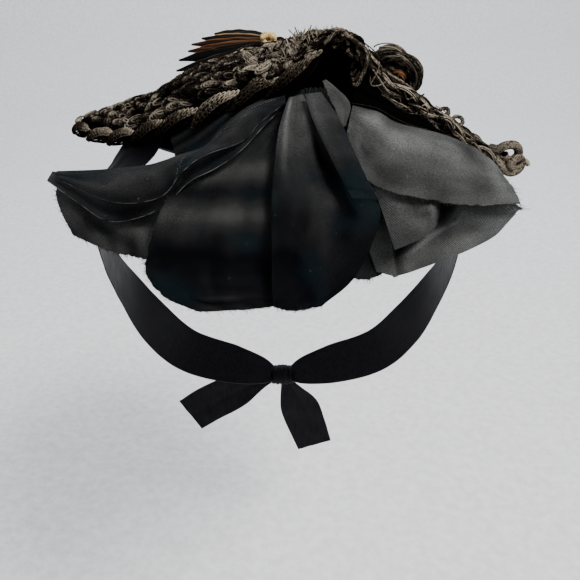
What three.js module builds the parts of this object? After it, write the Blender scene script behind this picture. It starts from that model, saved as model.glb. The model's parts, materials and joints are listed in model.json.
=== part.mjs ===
// A small dress bonnet of the 1880s: a silk covered cap with brim wings, rows of looped straw
// braid, a plaited edge, a leaf fan, a cord rosette, a large silk bow at the back and ribbon ties.
// Millimetres, +Z up, the front of the bonnet towards +Y. The finished bonnet is moved so that its
// origin is the middle of the crown's underside, where it sits when worn.
import * as THREE from 'three';

// Thicknesses and gaps
const SILK = 1.0;
const FRAME_WALL = 1.6;
const SEAM_GAP = 0.35;
const BRAID_HEIGHT = 3.9;
const BRAID_EDGE = 1.0;
const LEAF_WALL = 1.0;
const TIE_WALL = 1.0;

// Middle of the crown, on the frame's upper face
const CROWN = new THREE.Vector3(6, 4, -1.5);

// The brim by direction. azimuth: degrees from +X; reach: crown middle to frame edge; edge: height
// of the edge; power: how the slope gathers towards the edge; hump: rise two thirds of the way out;
// band: share of the reach at which the inner band meets the underside.
const BRIM_STATIONS = [
  { azimuth: 0, reach: 84, edge: -41, power: 1.45, hump: 1, band: 0.5 },
  { azimuth: 20, reach: 83, edge: -39, power: 1.5, hump: 2.2, band: 0.52 },
  { azimuth: 40, reach: 79, edge: -32, power: 1.6, hump: 1.6, band: 0.58 },
  { azimuth: 65, reach: 78, edge: -21, power: 2, hump: 1, band: 0.66 },
  { azimuth: 90, reach: 82, edge: -16, power: 2.4, hump: 2, band: 0.68 },
  { azimuth: 115, reach: 77, edge: -17, power: 2, hump: 1, band: 0.68 },
  { azimuth: 140, reach: 76, edge: -21, power: 1.7, hump: 0, band: 0.66 },
  { azimuth: 160, reach: 81, edge: -25, power: 1.5, hump: -0.6, band: 0.64 },
  { azimuth: 176, reach: 84.5, edge: -25.5, power: 1.5, hump: -1.6, band: 0.62 },
  { azimuth: 188, reach: 83, edge: -25, power: 1.6, hump: -0.8, band: 0.62 },
  { azimuth: 204, reach: 75, edge: -23.5, power: 2, hump: 1.6, band: 0.62 },
  { azimuth: 216, reach: 71, edge: -21, power: 2.5, hump: 4, band: 0.6 },
  { azimuth: 235, reach: 68, edge: -14, power: 3, hump: 5.3, band: 0.6 },
  { azimuth: 249, reach: 65, edge: -7, power: 3, hump: 7.5, band: 0.6 },
  { azimuth: 261, reach: 62.5, edge: -2, power: 3, hump: 8, band: 0.6 },
  { azimuth: 272, reach: 61, edge: 2, power: 3, hump: 8, band: 0.6 },
  { azimuth: 278, reach: 59, edge: 7, power: 3, hump: 5.8, band: 0.6 },
  { azimuth: 286, reach: 59, edge: 9, power: 3, hump: 4.8, band: 0.6 },
  { azimuth: 292, reach: 63, edge: 0.5, power: 3, hump: 5, band: 0.58 },
  { azimuth: 300, reach: 66, edge: -6, power: 3, hump: 3.5, band: 0.56 },
  { azimuth: 311, reach: 67, edge: -12.5, power: 2.6, hump: 2.4, band: 0.55 },
  { azimuth: 322, reach: 69, edge: -21, power: 1.8, hump: 1.5, band: 0.53 },
  { azimuth: 334, reach: 75, edge: -29, power: 1.6, hump: 1.2, band: 0.51 },
  { azimuth: 347, reach: 82, edge: -36, power: 1.5, hump: 0.5, band: 0.5 },
];
const FRONT_STEP = 9;
const BACK_STEP = 5;
const FRAME_SHARE = 0.97;
// The hump curve peaks at two thirds of the reach, where this factor brings it to full height
const HUMP_SCALE = 6.75;

// The rows of braid by share of the reach, from the edge inwards
const ROW_SHARES = [1, 0.84, 0.68, 0.52, 0.36, 0.2];
const ROW_NAMES = ['braid_row_1', 'braid_row_2', 'braid_row_3', 'braid_row_4', 'braid_row_5'];
const RUFFLES = 18;
const RUFFLE_SHARE = 0.16;

// The plait along the edge. wave: degrees to one scallop; shoulder: side height as a share of the
// middle height; taper: size of the two ends.
const PLAIT = { width: 6, height: 4.4, scallop: 1.2, wave: 21, shoulder: 0.45, taper: 0.55 };
const PLAITS = {
  edge_plait_left: { from: 187.3, to: 276 },
  edge_plait_right: { from: 285, to: 340 },
  edge_plait_front: { from: -17, to: 186.9 },
};

// The oval rim at the bottom of the inner band, and how far the band bulges above it
const RIM = { x: -0.2, y: -3.2, z: -25.4, halfWidth: 56, halfLength: 66, bulge: 0.7 };
// The middle of the band's top edge lies this far under the frame
const BAND_DROP = FRAME_WALL + SEAM_GAP + 0.9;
const BAND_LEVELS = [0, 0.35, 0.7, 1];

const SILK_BLACK = { color: 0x17171b, roughness: 0.6 };
const SILK_TEAL = { color: 0x14191c, roughness: 0.7 };
const BRAID_DARK = { color: 0x2a2623, roughness: 0.75 };
const BRAID_TAN = { color: 0x3c362e, roughness: 0.7 };
const LEAF_DARK = { color: 0x1d2420, roughness: 0.5 };
const LEAF_BROWN = { color: 0x6b4f36, roughness: 0.6 };
const LEAF_TAN = { color: 0xb89b72, roughness: 0.7 };
const CREAM = { color: 0xd9c69c, roughness: 0.8 };
const SATIN = { color: 0x131420, roughness: 0.4 };

const bonnet = new THREE.Group();
bonnet.name = 'bonnet';
// The origin goes to the middle of the crown's underside
bonnet.position.set(-CROWN.x, -CROWN.y, FRAME_WALL - CROWN.z);

function add(name, geometry, finish) {
  const material = new THREE.MeshStandardMaterial({ ...finish, metalness: 0 });
  const mesh = new THREE.Mesh(geometry, material);
  mesh.name = name;
  bonnet.add(mesh);
  return mesh;
}

function vec(x, y, z) {
  return new THREE.Vector3(x, y, z);
}

function point(values) {
  return new THREE.Vector3(...values);
}

function radians(degrees) {
  return THREE.MathUtils.degToRad(degrees);
}

// Joins a list of corners and triangles into one closed body with its faces pointing out.
// Corners at the same place become one, and triangles that this closes up are dropped.
function closedBody(corners, triangles) {
  const places = new Map();
  const positions = [];
  const merged = corners.map((corner) => {
    const key = corner.toArray().map((value) => value.toFixed(4)).join(' ');
    if (!places.has(key)) {
      places.set(key, places.size);
      positions.push(...corner.toArray());
    }
    return places.get(key);
  });
  const faces = triangles
    .map((triangle) => triangle.map((corner) => merged[corner]))
    .filter(([a, b, c]) => a !== b && b !== c && c !== a);
  const at = (index) => point(positions.slice(3 * index, 3 * index + 3));
  let volume = 0;
  for (const [a, b, c] of faces) {
    volume += at(a).dot(at(b).cross(at(c)));
  }
  const outward = volume > 0 ? faces : faces.map(([a, b, c]) => [a, c, b]);
  const geometry = new THREE.BufferGeometry();
  geometry.setAttribute('position', new THREE.Float32BufferAttribute(positions, 3));
  geometry.setIndex(outward.flat());
  geometry.computeVertexNormals();
  return geometry;
}

// Lofts a skin through sections of equal, even counts of corners. A section runs out along one
// face and back along the other, so its two halves also pair up across each end.
function loft(sections, ring = false) {
  const count = sections[0].length;
  const triangles = [];
  const quad = (a, b, c, d) => triangles.push([a, b, c], [a, c, d]);
  const spans = ring ? sections.length : sections.length - 1;
  for (let i = 0; i < spans; i += 1) {
    const here = i * count;
    const next = ((i + 1) % sections.length) * count;
    for (let j = 0; j < count; j += 1) {
      const k = (j + 1) % count;
      quad(here + j, next + j, next + k, here + k);
    }
  }
  if (!ring) {
    const last = (sections.length - 1) * count;
    for (let j = 0; j < count / 2 - 1; j += 1) {
      quad(j, j + 1, count - 2 - j, count - 1 - j);
      quad(last + j, last + count - 1 - j, last + count - 2 - j, last + j + 1);
    }
  }
  return closedBody(sections.flat(), triangles);
}

// Thickens a grid of points on the middle of a sheet into a wall
function sheet(grid, thickness, ring = false) {
  const rows = grid.length;
  const neighbour = (i, step) => {
    if (ring) return grid[(i + step + rows) % rows];
    return grid[THREE.MathUtils.clamp(i + step, 0, rows - 1)];
  };
  const sections = grid.map((row, i) => {
    const last = row.length - 1;
    const normals = row.map((_, j) => {
      const along = neighbour(i, 1)[j].clone().sub(neighbour(i, -1)[j]);
      const across = row[Math.min(j + 1, last)].clone().sub(row[Math.max(j - 1, 0)]);
      return along.cross(across).normalize();
    });
    const face = row.map((p, j) => p.clone().addScaledVector(normals[j], thickness / 2));
    const back = row.map((p, j) => p.clone().addScaledVector(normals[j], -thickness / 2));
    return face.concat(back.reverse());
  });
  return loft(sections, ring);
}

// Monotone curve through one column of the brim table
function station(name, azimuth) {
  const turn = ((azimuth % 360) + 360) % 360;
  const count = BRIM_STATIONS.length;
  const row = (i) => BRIM_STATIONS[((i % count) + count) % count];
  const angle = (i) => row(i).azimuth + 360 * Math.floor(i / count);
  let i = 0;
  while (i < count - 1 && angle(i + 1) <= turn) i += 1;
  const slope = (k) => (row(k + 1)[name] - row(k)[name]) / (angle(k + 1) - angle(k));
  const tangent = (k) => {
    const before = slope(k - 1);
    const after = slope(k);
    return before * after <= 0 ? 0 : (2 * before * after) / (before + after);
  };
  const span = angle(i + 1) - angle(i);
  const t = (turn - angle(i)) / span;
  const rise = t * t * (3 - 2 * t);
  return row(i)[name] * (1 - rise) + row(i + 1)[name] * rise
    + span * tangent(i) * t * (1 - t) * (1 - t)
    - span * tangent(i + 1) * t * t * (1 - t);
}

// Point on the frame's upper face, at a share of the reach
function brimFace(azimuth, share) {
  const reach = station('reach', azimuth) * share;
  const drop = (CROWN.z - station('edge', azimuth)) * share ** station('power', azimuth);
  const hump = station('hump', azimuth) * HUMP_SCALE * share ** 2 * (1 - share);
  const a = radians(azimuth);
  return vec(
    CROWN.x + reach * Math.cos(a),
    CROWN.y + reach * Math.sin(a),
    CROWN.z - drop + hump,
  );
}

function brimNormal(azimuth, share) {
  const step = 0.02;
  const inner = Math.max(share, 0.05);
  const out = brimFace(azimuth, inner + step).sub(brimFace(azimuth, inner - step));
  const round = brimFace(azimuth + 1.5, inner).sub(brimFace(azimuth - 1.5, inner));
  return out.cross(round).normalize();
}

function brim(azimuth, share, lift) {
  if (share < 0.01) return CROWN.clone().add(vec(0, 0, lift));
  return brimFace(azimuth, share).addScaledVector(brimNormal(azimuth, share), lift);
}

// Every part of the brim is cut at these directions, so that neighbours lie face to face
function azimuths(from = 0, to = 355) {
  const list = [];
  let azimuth = -180;
  while (azimuth < 360) {
    if (azimuth >= from && azimuth <= to) list.push(azimuth);
    azimuth += azimuth >= 0 && azimuth < 180 ? FRONT_STEP : BACK_STEP;
  }
  return list;
}

// The cap and brim shell under the braid
function foundation() {
  const shares = [0, ...ROW_SHARES.slice(1).reverse(), FRAME_SHARE];
  const sections = azimuths().map((azimuth) => {
    const face = shares.map((share) => brim(azimuth, share, 0));
    const under = shares.map((share) => brim(azimuth, share, -FRAME_WALL));
    return face.concat(under.reverse());
  });
  return loft(sections, true);
}

// The silk band that stands under the brim and carries the rim
function innerBand() {
  const grid = azimuths().map((azimuth) => {
    const a = radians(azimuth);
    const top = brim(azimuth, station('band', azimuth), -BAND_DROP);
    const rim = vec(
      RIM.x + RIM.halfWidth * Math.cos(a),
      RIM.y + RIM.halfLength * Math.sin(a),
      RIM.z,
    );
    const outward = vec(Math.cos(a), Math.sin(a), 1).normalize();
    return BAND_LEVELS.map((level) => {
      const swell = 4 * RIM.bulge * level * (1 - level);
      return top.clone().lerp(rim, level).addScaledVector(outward, swell);
    });
  });
  return sheet(grid, FRAME_WALL, true);
}

// One row of braid: a flat underside on the frame and a ruffled, domed upper side
function braidRow(outer, inner, phase) {
  const sections = azimuths().map((azimuth) => {
    const gap = SEAM_GAP / 2 / station('reach', azimuth);
    const from = inner + gap;
    const to = outer - gap;
    const middle = (from + to) / 2;
    const ruffle = 1 + RUFFLE_SHARE * Math.sin(radians(azimuth * RUFFLES) + phase);
    const crest = SEAM_GAP + BRAID_HEIGHT * ruffle;
    return [
      brim(azimuth, from, SEAM_GAP),
      brim(azimuth, middle, SEAM_GAP),
      brim(azimuth, to, SEAM_GAP),
      brim(azimuth, to, SEAM_GAP + BRAID_EDGE),
      brim(azimuth, middle, crest),
      brim(azimuth, from, SEAM_GAP + BRAID_EDGE + 1),
    ];
  });
  return loft(sections, true);
}

// The coil of braid at the middle of the crown
function crownBraid() {
  const edge = ROW_SHARES[ROW_SHARES.length - 1];
  const sections = azimuths().map((azimuth) => {
    const to = edge - SEAM_GAP / 2 / station('reach', azimuth);
    return [
      brim(azimuth, 0, SEAM_GAP),
      brim(azimuth, to, SEAM_GAP),
      brim(azimuth, to, SEAM_GAP + BRAID_EDGE),
      brim(azimuth, 0, SEAM_GAP + BRAID_HEIGHT),
    ];
  });
  return loft(sections, true);
}

// A length of the coarse plait that follows the edge in shallow scallops
function edgePlait({ from, to }) {
  const list = [from, ...azimuths(from + 1, to - 1), to];
  const sections = list.map((azimuth, i) => {
    const reach = station('reach', azimuth);
    const taper = i === 0 || i === list.length - 1 ? PLAIT.taper : 1;
    const sway = PLAIT.scallop * Math.sin((2 * Math.PI * azimuth) / PLAIT.wave);
    const half = (PLAIT.height / 2) * taper;
    const side = PLAIT.shoulder * half;
    const at = (out, lift) => brim(azimuth, 1 + (SEAM_GAP + out) / reach, lift + sway);
    return [
      at(0, -side),
      at(PLAIT.width / 2, -half),
      at(PLAIT.width, -side),
      at(PLAIT.width, side),
      at(PLAIT.width / 2, half),
      at(0, side),
    ];
  });
  return loft(sections);
}

// A cloth panel between two edges. Each row of its table gives the point on either edge and how
// far the cloth between them bellies out along the panel's facing direction.
function panel(rows, { facing, along = 9, across = 4, wall = SILK }) {
  const first = new THREE.CatmullRomCurve3(rows.map((row) => point(row.a)));
  const second = new THREE.CatmullRomCurve3(rows.map((row) => point(row.b)));
  const bellies = new THREE.SplineCurve(rows.map((row, i) => new THREE.Vector2(i, row.belly)));
  const out = point(facing).normalize();
  const grid = [];
  for (let i = 0; i <= along; i += 1) {
    const u = i / along;
    const belly = bellies.getPoint(u).y;
    const line = [];
    for (let j = 0; j <= across; j += 1) {
      const v = j / across;
      const swell = 4 * belly * v * (1 - v);
      line.push(first.getPoint(u).lerp(second.getPoint(u), v).addScaledVector(out, swell));
    }
    grid.push(line);
  }
  return sheet(grid, wall);
}

// The bow, panel by panel. a and b are the two edges of a row, from the gather outwards.
const TO_BACK = [0, -1, 0.25];
const BOW = {
  bow_left_loop: {
    facing: [-0.1, -1, 0.5],
    along: 12,
    rows: [
      { a: [3, -67.2, -4.9], b: [3.1, -68, -7.1], belly: 0 },
      { a: [-8.4, -73, -7.7], b: [-4, -77, -10.9], belly: 0.8 },
      { a: [-15.8, -77, -13], b: [-9.5, -82, -15.8], belly: 1.2 },
      { a: [-20.9, -79, -18], b: [-20.5, -87, -19], belly: 0.8 },
      { a: [-29.9, -78, -21.3], b: [-27.1, -87, -23.6], belly: 1 },
      { a: [-38.8, -76, -24.4], b: [-34, -86.5, -31.2], belly: 1.4 },
      { a: [-55.4, -73, -26.8], b: [-48, -83.5, -34.2], belly: 1.6 },
      { a: [-69.8, -70, -28.2], b: [-66.7, -74.6, -30.2], belly: 0.4 },
    ],
  },
  bow_left_fold: {
    facing: TO_BACK,
    along: 12,
    across: 3,
    rows: [
      { a: [1.8, -65.6, -7.2], b: [1.6, -66.4, -9.2], belly: 0 },
      { a: [-4.5, -71.5, -11.5], b: [-4, -76.6, -13.2], belly: 0 },
      { a: [-11.5, -76, -17], b: [-10.4, -82.6, -18.8], belly: 0 },
      { a: [-19, -77.5, -21.8], b: [-17.6, -85.4, -23.2], belly: 0 },
      { a: [-26.8, -76.5, -25], b: [-25.2, -85.6, -27], belly: 0 },
      { a: [-34.6, -75.5, -29.5], b: [-33, -85, -34.2], belly: 0 },
      { a: [-43, -74, -32.4], b: [-41.2, -84, -38.6], belly: 0.5 },
      { a: [-54, -71.5, -33.2], b: [-52, -82, -40.6], belly: 0.8 },
      { a: [-64, -69, -31], b: [-62.4, -78, -35.6], belly: 0.5 },
      { a: [-72.4, -67.6, -28.8], b: [-72.6, -73, -30.2], belly: 0 },
    ],
  },
  bow_left_tail: {
    facing: TO_BACK,
    rows: [
      { a: [-71.6, -68, -34], b: [-34.7, -70.5, -35], belly: 0.8 },
      { a: [-71, -70.5, -37], b: [-34.2, -78, -40], belly: 2 },
      { a: [-68.6, -74, -42], b: [-35.4, -83, -46], belly: 1.5 },
      { a: [-65.6, -76, -47.6], b: [-37.6, -86, -52], belly: 0.8 },
    ],
  },
  bow_centre_left: {
    facing: TO_BACK,
    along: 12,
    across: 5,
    rows: [
      { a: [-0.4, -65.4, -10.5], b: [7.4, -65.2, -10], belly: 0 },
      { a: [-18.6, -79.6, -25.2], b: [1.4, -81.4, -20], belly: 0.3 },
      { a: [-27.8, -87.4, -32], b: [1.7, -89.5, -31.6], belly: 0.8 },
      { a: [-35.2, -94.4, -42.4], b: [2.3, -95.4, -44.6], belly: 1.4 },
      { a: [-38.2, -97, -51.6], b: [2.2, -99.6, -55.5], belly: 1 },
      { a: [-32.4, -99, -59], b: [2.2, -101, -59.4], belly: 0.8 },
      { a: [-22.6, -101, -62.6], b: [2.2, -101.8, -60.8], belly: 0.4 },
    ],
  },
  bow_centre_right: {
    facing: TO_BACK,
    along: 12,
    across: 5,
    rows: [
      { a: [4.2, -66.6, -5.9], b: [8.7, -65.4, -4.9], belly: 0 },
      { a: [1.4, -80, -13], b: [12.6, -78.2, -10.6], belly: 0.8 },
      { a: [0.3, -88, -20.9], b: [16.9, -86, -20.5], belly: 1.2 },
      { a: [-0.6, -94, -30.2], b: [30.5, -93, -32], belly: 1.6 },
      { a: [-0.6, -100, -41.7], b: [28.3, -97.4, -42.9], belly: 1.4 },
      { a: [-0.6, -104, -54.1], b: [22.8, -101, -52.3], belly: 0.8 },
      { a: [0, -106, -58.7], b: [14.1, -103.4, -59.5], belly: 0.4 },
    ],
  },
  bow_strap: {
    facing: TO_BACK,
    along: 8,
    across: 3,
    rows: [
      { a: [9.2, -70.6, -4.2], b: [14, -70.4, -3.6], belly: 0 },
      { a: [11.4, -81.4, -9.9], b: [18.7, -80.4, -9.2], belly: 0.6 },
      { a: [15.5, -90.6, -17.2], b: [22.4, -89.8, -16], belly: 0.8 },
      { a: [19.5, -97.4, -24], b: [26, -96.8, -22.9], belly: 0.6 },
      { a: [21.9, -100.6, -27.7], b: [29.3, -100, -28.3], belly: 0.2 },
    ],
  },
  bow_facet: {
    facing: [0.3, -1, 0.4],
    along: 5,
    across: 2,
    rows: [
      { a: [14.2, -64.7, -3], b: [16.4, -64.6, -3.1], belly: 0 },
      { a: [17.5, -74, -6.4], b: [22.6, -70.6, -6.3], belly: 0.3 },
      { a: [20, -81.4, -11.6], b: [21.2, -80.6, -11.6], belly: 0 },
    ],
  },
  bow_right_panel: {
    facing: [0.2, -1, 0.6],
    along: 12,
    across: 5,
    rows: [
      { a: [23.7, -70.8, -7.5], b: [21.4, -80.6, -13.6], belly: 0 },
      { a: [30.8, -70, -9.4], b: [23.8, -87.6, -19.6], belly: 1.2 },
      { a: [38.6, -71, -12.9], b: [28.4, -94, -25.4], belly: 2 },
      { a: [51.5, -70, -16.2], b: [48.6, -91.4, -31.4], belly: 2 },
      { a: [63.3, -69, -20.8], b: [61.4, -88, -33.6], belly: 1.4 },
      { a: [68.9, -70, -25], b: [74.8, -83, -34.5], belly: 0.4 },
    ],
  },
  bow_right_loop: {
    facing: TO_BACK,
    along: 6,
    rows: [
      { a: [30.6, -92, -26.6], b: [36.8, -96, -44.8], belly: 0.6 },
      { a: [40, -90.4, -29.6], b: [43.3, -93.4, -42.2], belly: 1 },
      { a: [49.6, -88.2, -33.2], b: [48.7, -89.6, -39.2], belly: 0.4 },
    ],
  },
  bow_right_tail: {
    facing: TO_BACK,
    along: 9,
    rows: [
      { a: [32, -85.4, -32.4], b: [36.6, -91.4, -55.8], belly: 0.4 },
      { a: [44.5, -81, -34], b: [46.8, -88, -53.6], belly: 0.8 },
      { a: [57.3, -79, -35.6], b: [58.4, -85, -50.1], belly: 0.8 },
      { a: [69.6, -79.4, -36.2], b: [69.2, -81.4, -45.8], belly: 0.6 },
      { a: [74.6, -82.8, -35.4], b: [74.9, -79.6, -39.6], belly: 0 },
    ],
  },
  bow_side_strip: {
    facing: TO_BACK,
    along: 5,
    across: 2,
    rows: [
      { a: [30, -86.6, -32], b: [32.4, -87, -31.6], belly: 0 },
      { a: [30, -88.6, -37.6], b: [32.6, -89.6, -38.6], belly: 0.2 },
      { a: [31.4, -90.4, -46], b: [34.6, -91.8, -46.8], belly: 0.4 },
      { a: [33.2, -92, -53.6], b: [37, -93.6, -55], belly: 0.2 },
    ],
  },
  bow_net: {
    facing: TO_BACK,
    along: 3,
    across: 2,
    rows: [
      { a: [27.6, -87.4, -42.6], b: [31.6, -88, -44], belly: 0 },
      { a: [26.2, -89.4, -49.6], b: [32.4, -89.8, -50.4], belly: 0 },
      { a: [23.6, -91.8, -55.6], b: [33, -91, -54.4], belly: 0 },
    ],
  },
};

// The gathered root of the bow: a short pleated roll across the back under the arch
const GATHER = { x: 13.8, y: -61.4, z: -7.8, halfLength: 7.4, radius: 4.5, pleat: 0.3, pleats: 4 };

function bowGather() {
  const sides = 10;
  const steps = 14;
  const sections = [];
  for (let i = 0; i <= steps; i += 1) {
    const t = (2 * i) / steps - 1;
    const pleat = GATHER.pleat * Math.cos(Math.PI * GATHER.pleats * t);
    const radius = GATHER.radius * Math.sqrt(1.08 - t ** 4) + pleat - GATHER.pleat;
    const corners = [];
    for (let j = 0; j < sides; j += 1) {
      const turn = (2 * Math.PI * j) / sides;
      corners.push(vec(
        GATHER.x + GATHER.halfLength * t,
        GATHER.y + radius * Math.cos(turn),
        GATHER.z + radius * Math.sin(turn),
      ));
    }
    sections.push(corners);
  }
  return loft(sections);
}

// The ties run from under the wings down to the knot. a is the rear edge and b the front edge of
// the ribbon, for the left side; the right side is its mirror image.
const TIE_ROWS = [
  { a: [-42.6, -50.4, -27.4], b: [-53, -37, -28.2], belly: 0.3 },
  { a: [-47.6, -52.4, -32.2], b: [-62.4, -33, -34.6], belly: 0.8 },
  { a: [-55.6, -51, -42.5], b: [-70.8, -27.4, -45], belly: 1.2 },
  { a: [-69.6, -37, -60], b: [-76.2, -13, -61], belly: 0.4 },
  { a: [-76.2, -14, -85], b: [-76.6, 10, -88], belly: 0.2 },
  { a: [-75.6, 4, -112], b: [-74, 27, -106], belly: 0.2 },
  { a: [-69, 14, -138], b: [-63, 37, -128], belly: 0.4 },
  { a: [-55, 27, -163], b: [-49, 49, -151], belly: 0.6 },
  { a: [-31, 42, -181], b: [-26, 63, -169], belly: 0.6 },
  { a: [-8.4, 52, -189], b: [-8.2, 66, -180], belly: 0 },
];
const TIE_END_ROWS = {
  tie_end_left: [
    { a: [-7.6, 60.4, -194.4], b: [-8.6, 62, -187.4], belly: 0 },
    { a: [-24, 62, -211], b: [-30, 64, -190], belly: 1.5 },
    { a: [-40, 65, -223], b: [-50, 66, -200], belly: 1 },
    { a: [-52, 66, -231.5], b: [-65, 66, -210.5], belly: 0 },
  ],
  tie_end_right: [
    { a: [-0.4, 60.6, -193.9], b: [6.2, 61, -192.7], belly: 0 },
    { a: [-1, 62, -214], b: [21, 64, -208], belly: 1.5 },
    { a: [4, 65, -232], b: [27, 66, -226], belly: 1 },
    { a: [10, 66, -248], b: [31, 66, -241], belly: 0 },
  ],
};
const KNOT = { x: 0, y: 60, z: -187, halfWidth: 7.6, halfLength: 5.6, halfHeight: 6.6 };

function mirrored(rows) {
  return rows.map(({ a, b, belly }) => ({
    a: [-a[0], a[1], a[2]],
    b: [-b[0], b[1], b[2]],
    belly,
  }));
}

// A flattened ball with a waist, as a pulled knot of ribbon has
function tieKnot() {
  const sides = 10;
  const steps = 8;
  const sections = [];
  for (let i = 0; i <= steps; i += 1) {
    const t = (2 * i) / steps - 1;
    const girth = Math.sqrt(1.1 - t * t) * (1 - 0.12 * Math.cos(Math.PI * t));
    const corners = [];
    for (let j = 0; j < sides; j += 1) {
      const turn = (2 * Math.PI * j) / sides;
      corners.push(vec(
        KNOT.x + KNOT.halfWidth * t,
        KNOT.y + KNOT.halfLength * girth * Math.cos(turn),
        KNOT.z + KNOT.halfHeight * girth * Math.sin(turn),
      ));
    }
    sections.push(corners);
  }
  return loft(sections);
}

// The leaf fan. Each row is one leaf, from the lowest: tip, half width and colour.
const LEAVES = [
  { tip: [-42, 5.2, -3.1], half: 2.4, finish: LEAF_DARK },
  { tip: [-41, 7.2, -1.4], half: 3.2, finish: LEAF_DARK },
  { tip: [-38.4, 9.8, 1.6], half: 2.9, finish: LEAF_BROWN },
  { tip: [-35.6, 12.4, 3.8], half: 2.9, finish: LEAF_BROWN },
  { tip: [-32.8, 15, 5.8], half: 2.5, finish: LEAF_DARK },
  { tip: [-27, 17.6, 7], half: 1.8, finish: LEAF_TAN },
  { tip: [-27.4, 20.2, 7.4], half: 3.1, finish: LEAF_DARK },
];
const LEAF_ROOT = { x: -2.6, z: 4.7, spread: 0.12 };
const LEAF_PROFILE = [0.3, 0.8, 1, 0.95, 0.7, 0.12];
// The middle rib stands proud by this share of the leaf's profile, and the leaf leans back
const LEAF_FOLD = 0.25;
const LEAF_LEAN = 20;
const LEAF_STEM = { centre: [0.2, 13, 4.9], half: [2.6, 10.8, 1.8] };
const LEAF_KNOT = { centre: [-4, 2.4, 6.5], half: [3, 2.6, 2.6] };

function leaf({ tip, half }) {
  const end = point(tip);
  const root = vec(LEAF_ROOT.x, end.y, LEAF_ROOT.z + LEAF_ROOT.spread * end.z);
  const along = end.clone().sub(root).normalize();
  const side = along.clone().cross(vec(0, 1, 0)).normalize();
  side.applyAxisAngle(along, radians(LEAF_LEAN));
  const face = along.clone().cross(side);
  const last = LEAF_PROFILE.length - 1;
  const grid = LEAF_PROFILE.map((share, i) => {
    const middle = root.clone().lerp(end, i / last);
    return [
      middle.clone().addScaledVector(side, half * share),
      middle.clone().addScaledVector(face, LEAF_FOLD * share),
      middle.clone().addScaledVector(side, -half * share),
    ];
  });
  return sheet(grid, LEAF_WALL);
}

// The rosette: arches of cord, one inside the other, that lean back from the brim
const ROSETTE = { azimuth: 316.6, share: 0.72, lift: 7.4, lean: 50, from: -14, to: 194 };
const ROSETTE_ARCHES = [
  { name: 'rosette_loop_1', radius: 9.8, wide: 1.6, high: 2.3, rise: 0 },
  { name: 'rosette_loop_2', radius: 6.2, wide: 1.5, high: 2.5, rise: 0.8 },
  { name: 'rosette_loop_3', radius: 2.9, wide: 1.3, high: 2.4, rise: 1.6 },
];
const ROSETTE_STEPS = 14;
const ROSETTE_SIDES = 6;
const HEART = { rise: 3.4, radius: 1.4 };

function rosetteAxes() {
  const centre = brim(ROSETTE.azimuth, ROSETTE.share, ROSETTE.lift);
  const normal = brimNormal(ROSETTE.azimuth, ROSETTE.share);
  const side = vec(1, 0, 0).addScaledVector(normal, -normal.x).normalize();
  const up = normal.clone().applyAxisAngle(side, radians(ROSETTE.lean));
  return { centre, normal, up, side, back: up.clone().cross(side) };
}

function rosetteArch({ radius, wide, high, rise }) {
  const { centre, up, side, back } = rosetteAxes();
  const sections = [];
  for (let i = 0; i <= ROSETTE_STEPS; i += 1) {
    const turn = radians(THREE.MathUtils.lerp(ROSETTE.from, ROSETTE.to, i / ROSETTE_STEPS));
    const out = side.clone().multiplyScalar(Math.cos(turn))
      .addScaledVector(back, Math.sin(turn));
    const ring = [];
    for (let j = 0; j < ROSETTE_SIDES; j += 1) {
      const bend = (2 * Math.PI * j) / ROSETTE_SIDES;
      ring.push(centre.clone()
        .addScaledVector(out, radius + wide * Math.cos(bend))
        .addScaledVector(up, rise + high * Math.sin(bend)));
    }
    sections.push(ring);
  }
  return loft(sections);
}

// The braid end that curls round on itself at the right wing tip
const CURL_ROUTE = [
  [86.2, -23.8, -34], [89.4, -25.2, -31.6], [93.4, -26, -32.4],
  [95, -26.4, -35.6], [92.4, -26.8, -38.6], [88.8, -26.6, -38.6],
];
const CURL = { radius: 2.7, tip: 0.7, steps: 12, sides: 6 };

function tipCurl() {
  const route = new THREE.CatmullRomCurve3(CURL_ROUTE.map(point));
  const across = vec(0, 1, 0);
  const sections = [];
  for (let i = 0; i <= CURL.steps; i += 1) {
    const t = i / CURL.steps;
    const middle = route.getPoint(t);
    const side = route.getTangent(t).cross(across).normalize();
    const radius = THREE.MathUtils.lerp(CURL.radius, CURL.tip, t ** 4);
    const corners = [];
    for (let j = 0; j < CURL.sides; j += 1) {
      const turn = (2 * Math.PI * j) / CURL.sides;
      corners.push(middle.clone()
        .addScaledVector(side, radius * Math.cos(turn))
        .addScaledVector(across, radius * Math.sin(turn)));
    }
    sections.push(corners);
  }
  return loft(sections);
}

// A faceted lump for small wrapped trims
function lump(centre, half, sides = 8, rings = 5) {
  const geometry = new THREE.SphereGeometry(1, sides, rings);
  geometry.scale(...half);
  geometry.translate(...centre);
  const positions = geometry.getAttribute('position');
  const corners = [];
  for (let i = 0; i < positions.count; i += 1) {
    corners.push(new THREE.Vector3().fromBufferAttribute(positions, i));
  }
  const index = Array.from(geometry.getIndex().array);
  const triangles = [];
  for (let i = 0; i < index.length; i += 3) {
    triangles.push(index.slice(i, i + 3));
  }
  return closedBody(corners, triangles);
}

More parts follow.
